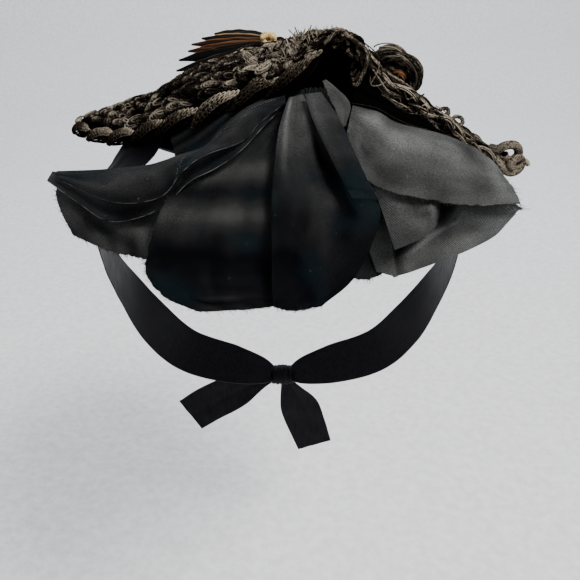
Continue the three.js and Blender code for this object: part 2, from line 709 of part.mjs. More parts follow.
add('foundation', foundation(), SILK_BLACK);
add('inner_band', innerBand(), SILK_TEAL);
ROW_NAMES.forEach((name, i) => {
  add(name, braidRow(ROW_SHARES[i], ROW_SHARES[i + 1], i * 1.7), BRAID_DARK);
});
add('crown_braid', crownBraid(), BRAID_DARK);
for (const [name, span] of Object.entries(PLAITS)) {
  add(name, edgePlait(span), BRAID_TAN);
}
add('tip_curl', tipCurl(), BRAID_TAN);
for (const arch of ROSETTE_ARCHES) {
  add(arch.name, rosetteArch(arch), BRAID_DARK);
}
const rosette = rosetteAxes();
const heartCentre = rosette.centre.clone().addScaledVector(rosette.up, HEART.rise);
add('rosette_heart', lump(heartCentre.toArray(), Array(3).fill(HEART.radius)), LEAF_BROWN);
LEAVES.forEach((row, i) => {
  add(`leaf_${i + 1}`, leaf(row), row.finish);
});
add('leaf_stem', lump(LEAF_STEM.centre, LEAF_STEM.half), BRAID_DARK);
add('leaf_knot', lump(LEAF_KNOT.centre, LEAF_KNOT.half), CREAM);
add('bow_gather', bowGather(), SILK_BLACK);
for (const [name, cut] of Object.entries(BOW)) {
  add(name, panel(cut.rows, cut), SILK_BLACK);
}
const TIE_LAYOUT = { along: 26, across: 2, wall: TIE_WALL };
add('tie_left', panel(TIE_ROWS, { facing: [-1, -0.6, 0], ...TIE_LAYOUT }), SATIN);
add('tie_right', panel(mirrored(TIE_ROWS), { facing: [1, -0.6, 0], ...TIE_LAYOUT }), SATIN);
add('tie_knot', tieKnot(), SATIN);
for (const [name, rows] of Object.entries(TIE_END_ROWS)) {
  add(name, panel(rows, { facing: [0, 1, 0], along: 8, across: 3, wall: TIE_WALL }), SATIN);
}

export default bonnet;
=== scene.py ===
"""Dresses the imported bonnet: looped straw braid, silk bow, leaf fan, rosette and ribbon ties.

Tables hold millimetres in the drawing frame, whose origin lies SHIFT from the part's own origin.
They become metres in the part's frame when a mesh is made.
"""
import json
import logging
import math
from dataclasses import dataclass
from enum import Enum

import bpy
import numpy as np
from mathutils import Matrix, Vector
from mathutils.bvhtree import BVHTree


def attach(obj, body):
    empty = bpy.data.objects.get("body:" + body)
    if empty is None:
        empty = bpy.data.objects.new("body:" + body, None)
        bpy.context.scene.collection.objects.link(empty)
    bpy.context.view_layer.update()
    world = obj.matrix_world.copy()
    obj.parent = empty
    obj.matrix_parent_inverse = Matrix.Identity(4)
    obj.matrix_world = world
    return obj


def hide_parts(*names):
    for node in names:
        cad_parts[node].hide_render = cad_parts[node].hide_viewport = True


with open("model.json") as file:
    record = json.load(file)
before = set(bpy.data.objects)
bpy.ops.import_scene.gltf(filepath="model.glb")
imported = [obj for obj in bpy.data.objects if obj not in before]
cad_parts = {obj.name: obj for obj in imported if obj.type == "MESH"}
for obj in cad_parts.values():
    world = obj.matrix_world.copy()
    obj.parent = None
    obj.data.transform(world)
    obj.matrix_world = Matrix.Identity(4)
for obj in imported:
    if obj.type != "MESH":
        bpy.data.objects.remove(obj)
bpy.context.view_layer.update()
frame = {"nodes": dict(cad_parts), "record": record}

logging.basicConfig(level=logging.INFO, format="%(name)s: %(message)s")
log = logging.getLogger("bonnet")

Array = np.ndarray
Triple = tuple[float, float, float]

# A millimetre in metres.
MM = 0.001
# The drawing's origin in the part's frame, and the middle of the crown in the drawing.
SHIFT = np.array([-6.0, -4.0, 3.1])
CROWN = np.array([6.0, 4.0])
# How far the silk frame goes toward the edge, and where each row of braid ends, as shares of the reach.
FRAME_SHARE = 0.97
ROW_SHARES = (1.0, 0.84, 0.68, 0.52, 0.36, 0.2)
# Painted shade: the darkest tone, given to the nets and cores that the strands lie on, so that the gaps
# between strands read as shadow.
BED_SHADE_TONE = -0.5
# Share of its radius by which a strand of a rope keeps inside the rope's outline.
INSET = 0.7
# Radians of phase in a metre of a diagonal wave texture of scale 1.
DIAGONAL_PHASE = 17.32
# Directions: up, to the back of the wearer, toward the eye of the photograph, and out over a hem.
UP = np.array([0.0, 0.0, 1.0])
BACK = np.array([0.0, -1.0, 0.2])
TO_EYE = np.array([0.1, -1.0, 0.2])
OVER_HEM = np.array([0.0, -0.3, 1.0])


def unit(vectors: Array) -> Array:
    """Scales vectors to length one along the last axis."""
    return vectors / np.maximum(np.linalg.norm(vectors, axis=-1, keepdims=True), 1e-9)


def catmull(points: Array, places: Array) -> Array:
    """Runs a centripetal Catmull-Rom curve through points.

    Args:
        points: The points, one a row.
        places: Places on the curve, from 0 to 1.

    Returns:
        A point for each place.
    """
    first = 2 * points[0] - points[1]
    last = 2 * points[-1] - points[-2]
    padded = np.vstack([first, points, last])
    spans = len(points) - 1
    found = []
    for place in np.clip(places, 0, 1):
        i = min(int(place * spans), spans - 1)
        t = place * spans - i
        p0, p1, p2, p3 = padded[i:i + 4]
        d0, d1, d2 = (max(np.linalg.norm(q - p) ** 0.5, 1e-4) for p, q in ((p0, p1), (p1, p2), (p2, p3)))
        m1 = ((p1 - p0) / d0 - (p2 - p0) / (d0 + d1) + (p2 - p1) / d1) * d1
        m2 = ((p2 - p1) / d1 - (p3 - p1) / (d1 + d2) + (p3 - p2) / d2) * d1
        rise = -3 * p1 + 3 * p2 - 2 * m1 - m2
        turn = 2 * p1 - 2 * p2 + m1 + m2
        found.append(p1 + m1 * t + rise * t * t + turn * t ** 3)
    return np.array(found)


class Body:
    """Gathers corners and faces, and makes one mesh object of them."""

    def __init__(self) -> None:
        """Starts empty."""
        self.corners: list[Array] = []
        self.faces: list[Array] = []
        self.tones: list[Array] = []
        self.rims: list[Array] = []
        self.count = 0

    def add(self, corners: Array, faces: list[Array], tone: Array | float, rim: Array | int = 0) -> None:
        """Adds corners, in drawing millimetres, with their faces and their tone.

        Args:
            corners: Corners, one a row.
            faces: Arrays of faces, each array with faces of one size.
            tone: How light each corner is, from 0 to 1.
            rim: Not 0 for the corners of a sharp rim, with a number for each rim.
        """
        flat = corners.reshape(-1, 3)
        self.corners.append(flat)
        self.faces.extend(part + self.count for part in faces)
        self.tones.append(np.broadcast_to(np.asarray(tone, float).reshape(-1), (len(flat),)))
        self.rims.append(np.broadcast_to(np.asarray(rim).reshape(-1), (len(flat),)))
        self.count += len(flat)

    def make(self, name: str, material: bpy.types.Material) -> bpy.types.Object:
        """Makes the mesh object.

        Args:
            name: The piece's name.
            material: Its finish.

        Returns:
            The new object.
        """
        corners = (np.vstack(self.corners) + SHIFT) * MM
        mesh = bpy.data.meshes.new(name)
        mesh.vertices.add(len(corners))
        mesh.vertices.foreach_set("co", corners.astype(np.float32).ravel())
        loops = np.concatenate([part.ravel() for part in self.faces])
        sizes = np.concatenate([np.full(len(part), part.shape[1]) for part in self.faces])
        starts = np.concatenate([[0], np.cumsum(sizes)[:-1]])
        mesh.loops.add(len(loops))
        mesh.loops.foreach_set("vertex_index", loops.astype(np.int32))
        mesh.polygons.add(len(sizes))
        mesh.polygons.foreach_set("loop_start", starts.astype(np.int32))
        mesh.update(calc_edges=True)
        mesh.validate()
        mesh.polygons.foreach_set("use_smooth", np.ones(len(mesh.polygons), bool))
        self.sharpen(mesh)
        tones = mesh.attributes.new("tone", "FLOAT", "POINT")
        tones.data.foreach_set("value", np.concatenate(self.tones).astype(np.float32))
        mesh.materials.append(material)
        piece = bpy.data.objects.new(name, mesh)
        bpy.context.scene.collection.objects.link(piece)
        return piece

    def sharpen(self, mesh: bpy.types.Mesh) -> None:
        """Marks the edges along each rim as sharp, so that a cut edge doesn't shade as a roll.

        Args:
            mesh: The mesh.
        """
        rims = np.concatenate(self.rims)
        if not rims.any():
            return
        ends = np.empty(len(mesh.edges) * 2, np.int32)
        mesh.edges.foreach_get("vertices", ends)
        first, second = rims[ends.reshape(-1, 2)].T
        sharp = mesh.attributes.new("sharp_edge", "BOOLEAN", "EDGE")
        sharp.data.foreach_set("value", (first > 0) & (first == second))

    def rope(self, path: Array, up: Array, wide: float, high: float, count: int, turns: float,
             thick: float, tone: float, sides: int = 5) -> None:
        """Adds a rope of strands that lie round a path.

        Args:
            path: The rope's middle line.
            up: Direction of the rope's height, for the whole rope or for each point.
            wide: Half its width.
            high: Half its height.
            count: Number of strands.
            turns: Turns of the strands from one end to the other.
            thick: Radius of a strand.
            tone: Tone of the strands.
            sides: Sides of a strand's section.
        """
        along = unit(np.gradient(path, axis=0))
        side = unit(np.cross(along, np.broadcast_to(up, path.shape)))
        rise = np.cross(side, along)
        t = np.linspace(0, 1, len(path))
        phase = 2 * np.pi * (np.arange(count)[:, None] / count + turns * t[None])
        offset = (wide - thick * INSET) * np.cos(phase)[..., None] * side
        offset = offset + (high - thick * INSET) * np.sin(phase)[..., None] * rise
        # Strands are painted lighter on the rope's upper side and darker below, as light from above; the
        # second term sets each strand apart at random.
        tones = tone + 0.18 * np.sin(phase) + 0.08 * np.cos(7 * np.arange(count))[:, None]
        radii = np.full((count, len(path)), thick)
        self.strands(path[None] + offset, radii, np.broadcast_to(rise, offset.shape), tones, sides)
        # The core takes the darkest tone, painted shade that shows in the gaps between the strands.
        core = 0.75 * min(wide, high)
        self.strands(path[None], np.full((1, len(path)), core), rise[None], np.array([BED_SHADE_TONE]), 6)

    def strands(self, paths: Array, radii: Array, ups: Array, tone: Array, sides: int = 5) -> None:
        """Adds round strands.

        Args:
            paths: Centre lines, as strands by points by three.
            radii: Radius at each point of each strand.
            ups: Direction away from the surface, at each point.
            tone: Tone of each strand, or of each of its points.
            sides: Sides of a strand's section.
        """
        count, steps, _ = paths.shape
        along = unit(np.gradient(paths, axis=1))
        side = unit(np.cross(along, np.broadcast_to(ups, paths.shape)))
        up = np.cross(side, along)
        turn = 2 * np.pi * np.arange(sides) / sides
        ring = np.cos(turn)[:, None] * side[:, :, None] + np.sin(turn)[:, None] * up[:, :, None]
        radii = np.broadcast_to(radii, (count, steps))
        corners = paths[:, :, None] + radii[:, :, None, None] * ring
        index = np.arange(count * steps * sides).reshape(count, steps, sides)
        here = index[:, :-1]
        ahead = index[:, 1:]
        quads = np.stack([here, np.roll(here, -1, 2), np.roll(ahead, -1, 2), ahead], -1).reshape(-1, 4)
        caps = np.vstack([index[:, 0, ::-1], index[:, -1]])
        tones = np.asarray(tone, float)
        if tones.ndim == 1:
            tones = tones[:, None]
        tones = np.broadcast_to(tones[:, :, None], (count, steps, sides))
        self.add(corners, [quads, caps], tones.ravel())

    def cloth(self, grid: Array, wall: float, tone: Array | float = 0.5) -> None:
        """Adds a sheet with a wall, closed all round.

        Args:
            grid: Points of its middle, as rows by columns by three.
            wall: Its thickness.
            tone: Tone of each point, or of the whole sheet.
        """
        rows, columns, _ = grid.shape
        normal = unit(np.cross(np.gradient(grid, axis=0), np.gradient(grid, axis=1)))
        corners = np.stack([grid + normal * wall / 2, grid - normal * wall / 2])
        index = np.arange(2 * rows * columns).reshape(2, rows, columns)
        quads = []
        for layer, flip in ((index[0], False), (index[1], True)):
            face = np.stack([layer[:-1, :-1], layer[1:, :-1], layer[1:, 1:], layer[:-1, 1:]], -1)
            quads.append(face.reshape(-1, 4)[:, ::-1] if flip else face.reshape(-1, 4))
        for front, back in (
            (index[0, 0], index[1, 0]),
            (index[0, -1, ::-1], index[1, -1, ::-1]),
            (index[0, ::-1, 0], index[1, ::-1, 0]),
            (index[0, :, -1], index[1, :, -1]),
        ):
            quads.append(np.stack([front[:-1], front[1:], back[1:], back[:-1]], -1))
        tones = np.broadcast_to(np.asarray(tone, float), (rows, columns))
        border = np.zeros((rows, columns), int)
        border[[0, -1]] = 1
        border[:, [0, -1]] = 1
        rim = np.concatenate([border.ravel(), 2 * border.ravel()])
        self.add(corners, quads, np.concatenate([tones.ravel(), tones.ravel()]), rim)


class Link:
    """Wraps a node's socket so that shader maths can be written as Python expressions."""

    def __init__(self, shader: "Shader", socket: bpy.types.NodeSocket) -> None:
        """Keeps the socket and the shader that it belongs to."""
        self.shader = shader
        self.socket = socket

    def _maths(self, operation: str, left: "Link | float", right: "Link | float") -> "Link":
        """Adds a Math node for one operation."""
        return self.shader.node("ShaderNodeMath", {"operation": operation}, {0: left, 1: right})

    def __add__(self, other: "Link | float") -> "Link":
        """Adds a value."""
        return self._maths("ADD", self, other)

    def __radd__(self, other: float) -> "Link":
        """Adds to a number."""
        return self._maths("ADD", other, self)

    def __sub__(self, other: "Link | float") -> "Link":
        """Takes a value away."""
        return self._maths("SUBTRACT", self, other)

    def __rsub__(self, other: float) -> "Link":
        """Is taken away from a number."""
        return self._maths("SUBTRACT", other, self)

    def __mul__(self, other: "Link | float") -> "Link":
        """Multiplies by a value."""
        return self._maths("MULTIPLY", self, other)

    def __rmul__(self, other: float) -> "Link":
        """Multiplies a number."""
        return self._maths("MULTIPLY", other, self)


class Shader:
    """Builds one material's node tree."""

    def __init__(self, name: str) -> None:
        """Makes an empty material.

        Args:
            name: The material's name.
        """
        self.material = bpy.data.materials.new(name)
        self.material.use_nodes = True
        self.tree = self.material.node_tree
        self.tree.nodes.clear()

    def node(self, kind: str, settings: dict, inputs: dict, output: int | str = 0) -> Link:
        """Adds a node.

        Args:
            kind: The node's type.
            settings: Its settings; "stops" gives a colour ramp's stops.
            inputs: Values or links for its sockets, by name or number.
            output: The output that is used.

        Returns:
            The output as a link.
        """
        made = self.tree.nodes.new(kind)
        for key, value in settings.items():
            if key == "stops":
                while len(made.color_ramp.elements) < len(value):
                    made.color_ramp.elements.new(0.5)
                for stop, (place, colour) in zip(made.color_ramp.elements, value):
                    stop.position = place
                    stop.color = (*colour, 1)
            else:
                setattr(made, key, value)
        for key, value in inputs.items():
            socket = made.inputs[key]
            if isinstance(value, Link):
                self.tree.links.new(value.socket, socket)
            elif isinstance(value, tuple) and len(value) == 3 and socket.type == "RGBA":
                socket.default_value = (*value, 1)
            else:
                socket.default_value = value
        return Link(self, made.outputs[output])

    def coordinates(self) -> Link:
        """Gives the point in the part's frame, in metres."""
        return self.node("ShaderNodeTexCoord", {}, {}, "Object")

    def tone(self) -> Link:
        """Gives the tone kept on the mesh."""
        return self.node("ShaderNodeAttribute", {"attribute_name": "tone"}, {}, "Fac")

    def noise(self, size: float, detail: float = 3, stretch: Triple = (1, 1, 1), rough: float = 0.5) -> Link:
        """Gives soft noise.

        Args:
            size: Size of a patch in millimetres.
            detail: Octaves.
            stretch: Scale of each axis.
            rough: Strength of the finer octaves.

        Returns:
            The noise, about 0.5 in the middle.
        """
        place = self.node(
            "ShaderNodeVectorMath", {"operation": "MULTIPLY"}, {0: self.coordinates(), 1: stretch})
        return self.node("ShaderNodeTexNoise", {}, {
            "Vector": place, "Scale": 1 / (size * MM), "Detail": detail, "Roughness": rough})

    def ramp(self, value: Link, stops: list) -> Link:
        """Turns a value into a colour."""
        return self.node("ShaderNodeValToRGB", {"stops": stops}, {"Fac": value})

    def fit(self, value: Link, low: float, high: float, to_low: float, to_high: float) -> Link:
        """Maps a value from one range to another, held at both ends."""
        return self.node("ShaderNodeMapRange", {}, {
            "Value": value, "From Min": low, "From Max": high, "To Min": to_low, "To Max": to_high})

    def blend(self, share: Link | float, first: Link | Triple, second: Link | Triple,
              mode: str = "MIX") -> Link:
        """Mixes two colours.

        Args:
            share: How much of the second colour shows.
            first: First colour.
            second: Second colour.
            mode: How they mix.

        Returns:
            The mixed colour.
        """
        settings = {"data_type": "RGBA", "blend_type": mode}
        return self.node("ShaderNodeMix", settings, {0: share, 6: first, 7: second}, 2)

    def bump(self, height: Link, depth: float, strength: float = 1.0, under: Link | None = None) -> Link:
        """Gives a normal bent by a height.

        Args:
            height: The height, from 0 to 1.
            depth: What a height of 1 stands for, in millimetres.
            strength: Strength of the bump.
            under: A normal to start from.

        Returns:
            The bent normal.
        """
        inputs = {"Height": height, "Distance": depth * MM, "Strength": strength}
        if under is not None:
            inputs["Normal"] = under
        return self.node("ShaderNodeBump", {}, inputs)

    def finish(self, colour: Link | Triple, roughness: Link | float, normal: Link | None,
               fixed: dict[str, float]) -> bpy.types.Material:
        """Closes the tree with a Principled BSDF.

        Args:
            colour: Base colour.
            roughness: Roughness.
            normal: Bent normal, or None.
            fixed: Sockets that hold one value all over.

        Returns:
            The material.
        """
        inputs: dict = {"Base Color": colour, "Roughness": roughness, **fixed}
        if normal is not None:
            inputs["Normal"] = normal
        surface = self.node("ShaderNodeBsdfPrincipled", {}, inputs)
        self.node_out(surface)
        return self.material

    def node_out(self, surface: Link) -> None:
        """Joins a surface to the material's output."""
        out = self.tree.nodes.new("ShaderNodeOutputMaterial")
        self.tree.links.new(surface.socket, out.inputs["Surface"])


@dataclass(frozen=True)
class Silk:
    """Dull twilled silk, painted lighter on its ridges and darker in its hollows as light and shade, with
    patches of teal tint where it is dark.
    """

    name: str
    shades: tuple[Triple, ...] = (
        (0.0012, 0.0014, 0.0022), (0.0045, 0.0047, 0.0054), (0.0150, 0.0153, 0.0153),
        (0.040, 0.041, 0.040), (0.086, 0.089, 0.087))
    tint: Triple = (0.003, 0.011, 0.014)
    # edge: light grey of the hemstitch threads, also painted as a highlight on rolled edges and the highest
    # ridges.
    edge: Triple = (0.075, 0.072, 0.066)
    tinted: float = 0.45
    roughness: float = 0.52
    twill: float = 0.5
    sheen: float = 0.01
    specular: float = 0.02

    def material(self) -> bpy.types.Material:
        """Builds the material.

        Returns:
            The material.
        """
        shader = Shader(self.name)
        cloud = shader.noise(7, 4)
        # The mesh's tone carries painted light and shade: lighter ridges, darker hollows, and whole panels
        # lit or shaded. The cloud adds random variation.
        tone = shader.tone() + (cloud - 0.5) * 0.2
        stops = [(i / (len(self.shades) - 1), shade) for i, shade in enumerate(self.shades)]
        colour = shader.ramp(tone, stops)
        # Teal tint in noise patches, laid only where the tone is dark, so it follows the painted shade in the
        # hollows.
        patch = shader.fit(shader.noise(16, 2), 0.45, 0.65, 0, self.tinted)
        colour = shader.blend(patch * shader.fit(tone, 0.2, 0.5, 1, 0), colour, self.tint)
        slub = shader.fit(shader.noise(0.55, 4, (1, 1, 1.8), 0.8), 0.34, 0.66, 0.52, 1.52)
        twill = shader.node("ShaderNodeTexWave", {"bands_direction": "DIAGONAL"}, {
            "Vector": shader.coordinates(), "Scale": 2 * math.pi / (DIAGONAL_PHASE * self.twill * MM),
            "Distortion": 1.5, "Detail": 2, "Detail Scale": 3})
        weave = slub * shader.fit(twill, 0, 1, 0.68, 1.32)
        grey = shader.node("ShaderNodeCombineColor", {}, {0: weave, 1: weave, 2: weave})
        colour = shader.blend(1.0, colour, grey, "MULTIPLY")
        # Where the tone passes 1 the colour goes to the edge grey. This is the hemstitch threads' own colour,
        # and a painted highlight on rolled edges and the highest ridges of the lightest panels.
        edge = shader.fit(shader.tone(), 1.0, 1.3, 0, 1)
        colour = shader.blend(edge, colour, self.edge)
        lint = shader.fit(shader.noise(0.9, 1), 0.78, 0.82, 0, 0.2)
        colour = shader.blend(lint, colour, (0.3, 0.3, 0.28))
        crumple = shader.bump(shader.noise(4.5, 5, (1, 1, 0.6), 0.6), 1.1, 0.38)
        normal = shader.bump(twill, 0.08, 0.8, crumple)
        rough = shader.fit(cloud, 0.3, 0.7, self.roughness + 0.06, self.roughness - 0.08)
        return shader.finish(colour, rough, normal, {
            "Sheen Weight": self.sheen, "Sheen Roughness": 0.5, "Specular IOR Level": self.specular})


@dataclass(frozen=True)
class Braid:
    """Dark straw or chenille strands whose crests catch the light."""

    name: str
    dark: Triple
    middle: Triple
    light: Triple
    roughness: float = 0.6
    fibre: float = 0.35

    def material(self) -> bpy.types.Material:
        """Builds the material.

        Returns:
            The material.
        """
        shader = Shader(self.name)
        spread = shader.tone() + (shader.noise(0.7, 3) - 0.5) * 0.9 + (shader.noise(9, 2) - 0.5) * 0.4
        colour = shader.ramp(spread, [(0.12, self.dark), (0.5, self.middle), (0.9, self.light)])
        patch = shader.fit(shader.noise(14, 2), 0.4, 0.65, 0, 0.3)
        colour = shader.blend(patch, colour, self.dark)
        normal = shader.bump(shader.noise(self.fibre, 2), 0.12, 0.8)
        return shader.finish(colour, self.roughness, normal, {
            "Sheen Weight": 0.0, "Specular IOR Level": 0.0})


@dataclass(frozen=True)
class Satin:
    """Black ribbon satin, smooth along its length."""

    name: str
    colour: Triple
    light: Triple

    def material(self) -> bpy.types.Material:
        """Builds the material.

        Returns:
            The material.
        """
        shader = Shader(self.name)
        # Lighter lengthwise streaks in the colour: painted sheen.
        streak = shader.noise(1.2, 3, (1, 1, 0.15))
        colour = shader.ramp(streak, [(0.3, self.colour), (0.75, self.light)])
        rough = shader.fit(streak, 0.3, 0.7, 0.36, 0.5)
        normal = shader.bump(shader.noise(0.4, 2, (3, 3, 1)), 0.05, 0.5)
        return shader.finish(colour, rough, normal, {"Sheen Weight": 0.0, "Specular IOR Level": 0.05})


@dataclass(frozen=True)
class Straw:
    """Varnished straw of a leaf, two colours in lengthwise streaks."""

    name: str
    dark: Triple
    light: Triple
    streaks: float = 0.5

    def material(self) -> bpy.types.Material:
        """Builds the material.

        Returns:
            The material.
        """
        shader = Shader(self.name)
        grain = shader.noise(1.1, 3, (0.12, 1, 1))
        spread = shader.tone() * 0.7 + grain * 0.6 - 0.15
        colour = shader.ramp(spread, [(self.streaks - 0.2, self.dark), (self.streaks + 0.25, self.light)])
        normal = shader.bump(grain, 0.15, 0.6)
        return shader.finish(colour, 0.42, normal, {"Specular IOR Level": 0.07})


class Finish(Enum):
    """The finishes, by the record's material slot that each one stands for."""

    SILK = "silk_black"
    TEAL = "silk_teal"
    BRAID = "braid_dark"
    CHAIN = "braid_tan"
    LEAF_DARK = "leaf_dark"
    LEAF_BROWN = "leaf_brown"
    LEAF_TAN = "leaf_tan"
    CREAM = "cream"
    SATIN = "satin_black"


FINISHES = {
    Finish.SILK: Silk("bow_silk"),
    Finish.TEAL: Silk("band_silk", tint=(0.002, 0.010, 0.014), tinted=0.8, specular=0.02, sheen=0.0),
    Finish.BRAID: Braid(
        "looped_straw", (0.0010, 0.0006, 0.0006), (0.0130, 0.0100, 0.0078), (0.25, 0.215, 0.165)),
    Finish.CHAIN: Braid("chain_stitch", (0.002, 0.0012, 0.0010), (0.034, 0.027, 0.0195), (0.42, 0.36, 0.275)),
    Finish.LEAF_DARK: Straw("leaf_dark_straw", (0.0012, 0.0020, 0.0019), (0.075, 0.045, 0.022), 0.66),
    Finish.LEAF_BROWN: Straw("leaf_brown_straw", (0.010, 0.0044, 0.0024), (0.20, 0.085, 0.034), 0.6),
    Finish.LEAF_TAN: Straw("leaf_tan_straw", (0.10, 0.045, 0.02), (0.58, 0.36, 0.18), 0.5),
    Finish.CREAM: Braid("cream_cord", (0.16, 0.085, 0.03), (0.54, 0.38, 0.16), (0.80, 0.64, 0.36), 0.7),
    Finish.SATIN: Satin("ribbon_satin", (0.0035, 0.0035, 0.005), (0.010, 0.0095, 0.0125)),
}

# Near-black silk for the frame's underside and the right lining: painted shade, as these lie in shadow.
UNDERSIDE_SHADE = Silk(
    "frame_silk", tint=(0.0008, 0.0016, 0.002), specular=0.0, sheen=0.0,
    shades=(
        (0.0005, 0.0005, 0.0007), (0.0010, 0.0010, 0.0012), (0.0016, 0.0016, 0.0018), (0.003, 0.003, 0.003)))


class Wardrobe:
    """Makes each finish once and hands it out."""

    def __init__(self) -> None:
        """Starts with no material made."""
        self.made: dict[Finish, bpy.types.Material] = {}

    def get(self, finish: Finish) -> bpy.types.Material:
        """Gives a finish's material, which is made the first time.

        Args:
            finish: The finish.

        Returns:
            Its material.
        """
        if finish not in self.made:
            self.made[finish] = FINISHES[finish].material()
        return self.made[finish]

    def dress(self, piece: bpy.types.Object, finish: Finish, *nodes: str) -> None:
        """Makes a new piece ride on the part and stand for its nodes.

        Args:
            piece: The new piece.
            finish: The slot that it takes; not used.
            nodes: The CAD nodes that it stands for.
        """
        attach(piece, "root")
        if nodes:
            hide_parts(*nodes)
        log.info("%s: %d faces", piece.name, len(piece.data.polygons))

    def wear(self, body: Body, name: str, finish: Finish, *nodes: str) -> bpy.types.Object:
        """Makes a body's piece in its finish, and dresses it.

        Args:
            body: The piece's corners and faces.
            name: The piece's name.
            finish: The finish that it wears.
            nodes: The CAD nodes that it stands for.

        Returns:
            The piece.
        """
        piece = body.make(name, self.get(finish))
        self.dress(piece, finish, *nodes)
        return piece


class Brim:
    """The upper face of the frame, as a map from direction and share of the reach to a point."""

    # How near a corner lies to a whole degree, and the least reach that is the edge's.
    near_degree: float = 0.02
    least_reach: float = 50.0
    # The last share in the table of heights, the number of its columns, and where its rays start.
    last_share: float = 0.96
    columns: int = 33
    ray_height: float = 60.0
    # How far apart the points lie that a direction away from the face is worked out from.
    near_share: float = 0.03
    near_turn: float = 3

    def __init__(self, node: bpy.types.Object) -> None:
        """Measures the frame.

        Args:
            node: The CAD node of the cap and brim.
        """
        corners = np.array([v.co for v in node.data.vertices]) / MM - SHIFT
        flat = corners[:, :2] - CROWN
        azimuth = np.degrees(np.arctan2(flat[:, 1], flat[:, 0])) % 360
        radius = np.linalg.norm(flat, axis=1)
        cut = np.abs(azimuth - np.round(azimuth)) < self.near_degree
        reach: dict[int, float] = {}
        for turn, length in zip(np.round(azimuth[cut]).astype(int) % 360, radius[cut]):
            reach[turn] = max(reach.get(turn, 0), length / FRAME_SHARE)
        known = sorted(turn for turn, length in reach.items() if length > self.least_reach)
        around = np.array([known[-1] - 360, *known, known[0] + 360])
        lengths = np.array([reach[turn % 360] for turn in around])
        self.reaches = np.interp(np.arange(361), around, lengths)
        tree = BVHTree.FromPolygons(
            [v.co for v in node.data.vertices], [p.vertices for p in node.data.polygons])
        self.shares = np.linspace(0, self.last_share, self.columns)
        self.heights = np.zeros((361, self.columns))
        for turn in range(361):
            way = math.radians(turn)
            for i, share in enumerate(self.shares):
                out = self.reaches[turn] * share
                place = np.array(
                    [CROWN[0] + out * math.cos(way), CROWN[1] + out * math.sin(way), self.ray_height])
                hit = tree.ray_cast(Vector((place + SHIFT) * MM), Vector((0, 0, -1)))[0]
                self.heights[turn, i] = hit.z / MM - SHIFT[2] if hit else self.heights[turn, i - 1]

    def reach(self, azimuth: Array) -> Array:
        """Gives the length from the crown to the edge."""
        return np.interp(np.asarray(azimuth) % 360, np.arange(361), self.reaches)

    def height(self, azimuth: Array, share: Array) -> Array:
        """Gives the height of the face, carried on in a straight line past the edge.

        Args:
            azimuth: Direction from the crown.
            share: Share of the reach.

        Returns:
            The heights.
        """
        turn = np.asarray(azimuth, float) % 360
        step = self.shares[1]
        place = np.asarray(share, float) / step
        i = np.clip(turn.astype(int), 0, 359)
        j = np.clip(place.astype(int), 0, len(self.shares) - 2)
        u = turn - i
        v = place - j
        low = self.heights[i, j] * (1 - u) + self.heights[i + 1, j] * u
        high = self.heights[i, j + 1] * (1 - u) + self.heights[i + 1, j + 1] * u
        return low * (1 - v) + high * v

    def face(self, azimuth: Array, share: Array) -> Array:
        """Gives points on the face.

        Args:
            azimuth: Direction from the crown.
            share: Share of the reach.

        Returns:
            The points.
        """
        azimuth, share = np.broadcast_arrays(np.asarray(azimuth, float), np.asarray(share, float))
        way = np.radians(azimuth)
        out = self.reach(azimuth) * share
        return np.stack([
            CROWN[0] + out * np.cos(way),
            CROWN[1] + out * np.sin(way),
            self.height(azimuth, share),
        ], -1)

    def normal(self, azimuth: Array, share: Array) -> Array:
        """Gives the direction away from the face.

        Args:
            azimuth: Direction from the crown.
            share: Share of the reach.

        Returns:
            The directions.
        """
        turn = np.asarray(azimuth)
        inner = np.maximum(np.asarray(share, float), 2 * self.near_share)
        out = self.face(turn, inner + self.near_share) - self.face(turn, inner - self.near_share)
        around = self.face(turn + self.near_turn, inner) - self.face(turn - self.near_turn, inner)
        return unit(np.cross(out, around))

    def at(self, azimuth: Array, share: Array, lift: Array) -> Array:
        """Gives points at a height over the face."""
        return self.face(azimuth, share) + self.normal(azimuth, share) * np.asarray(lift, float)[..., None]


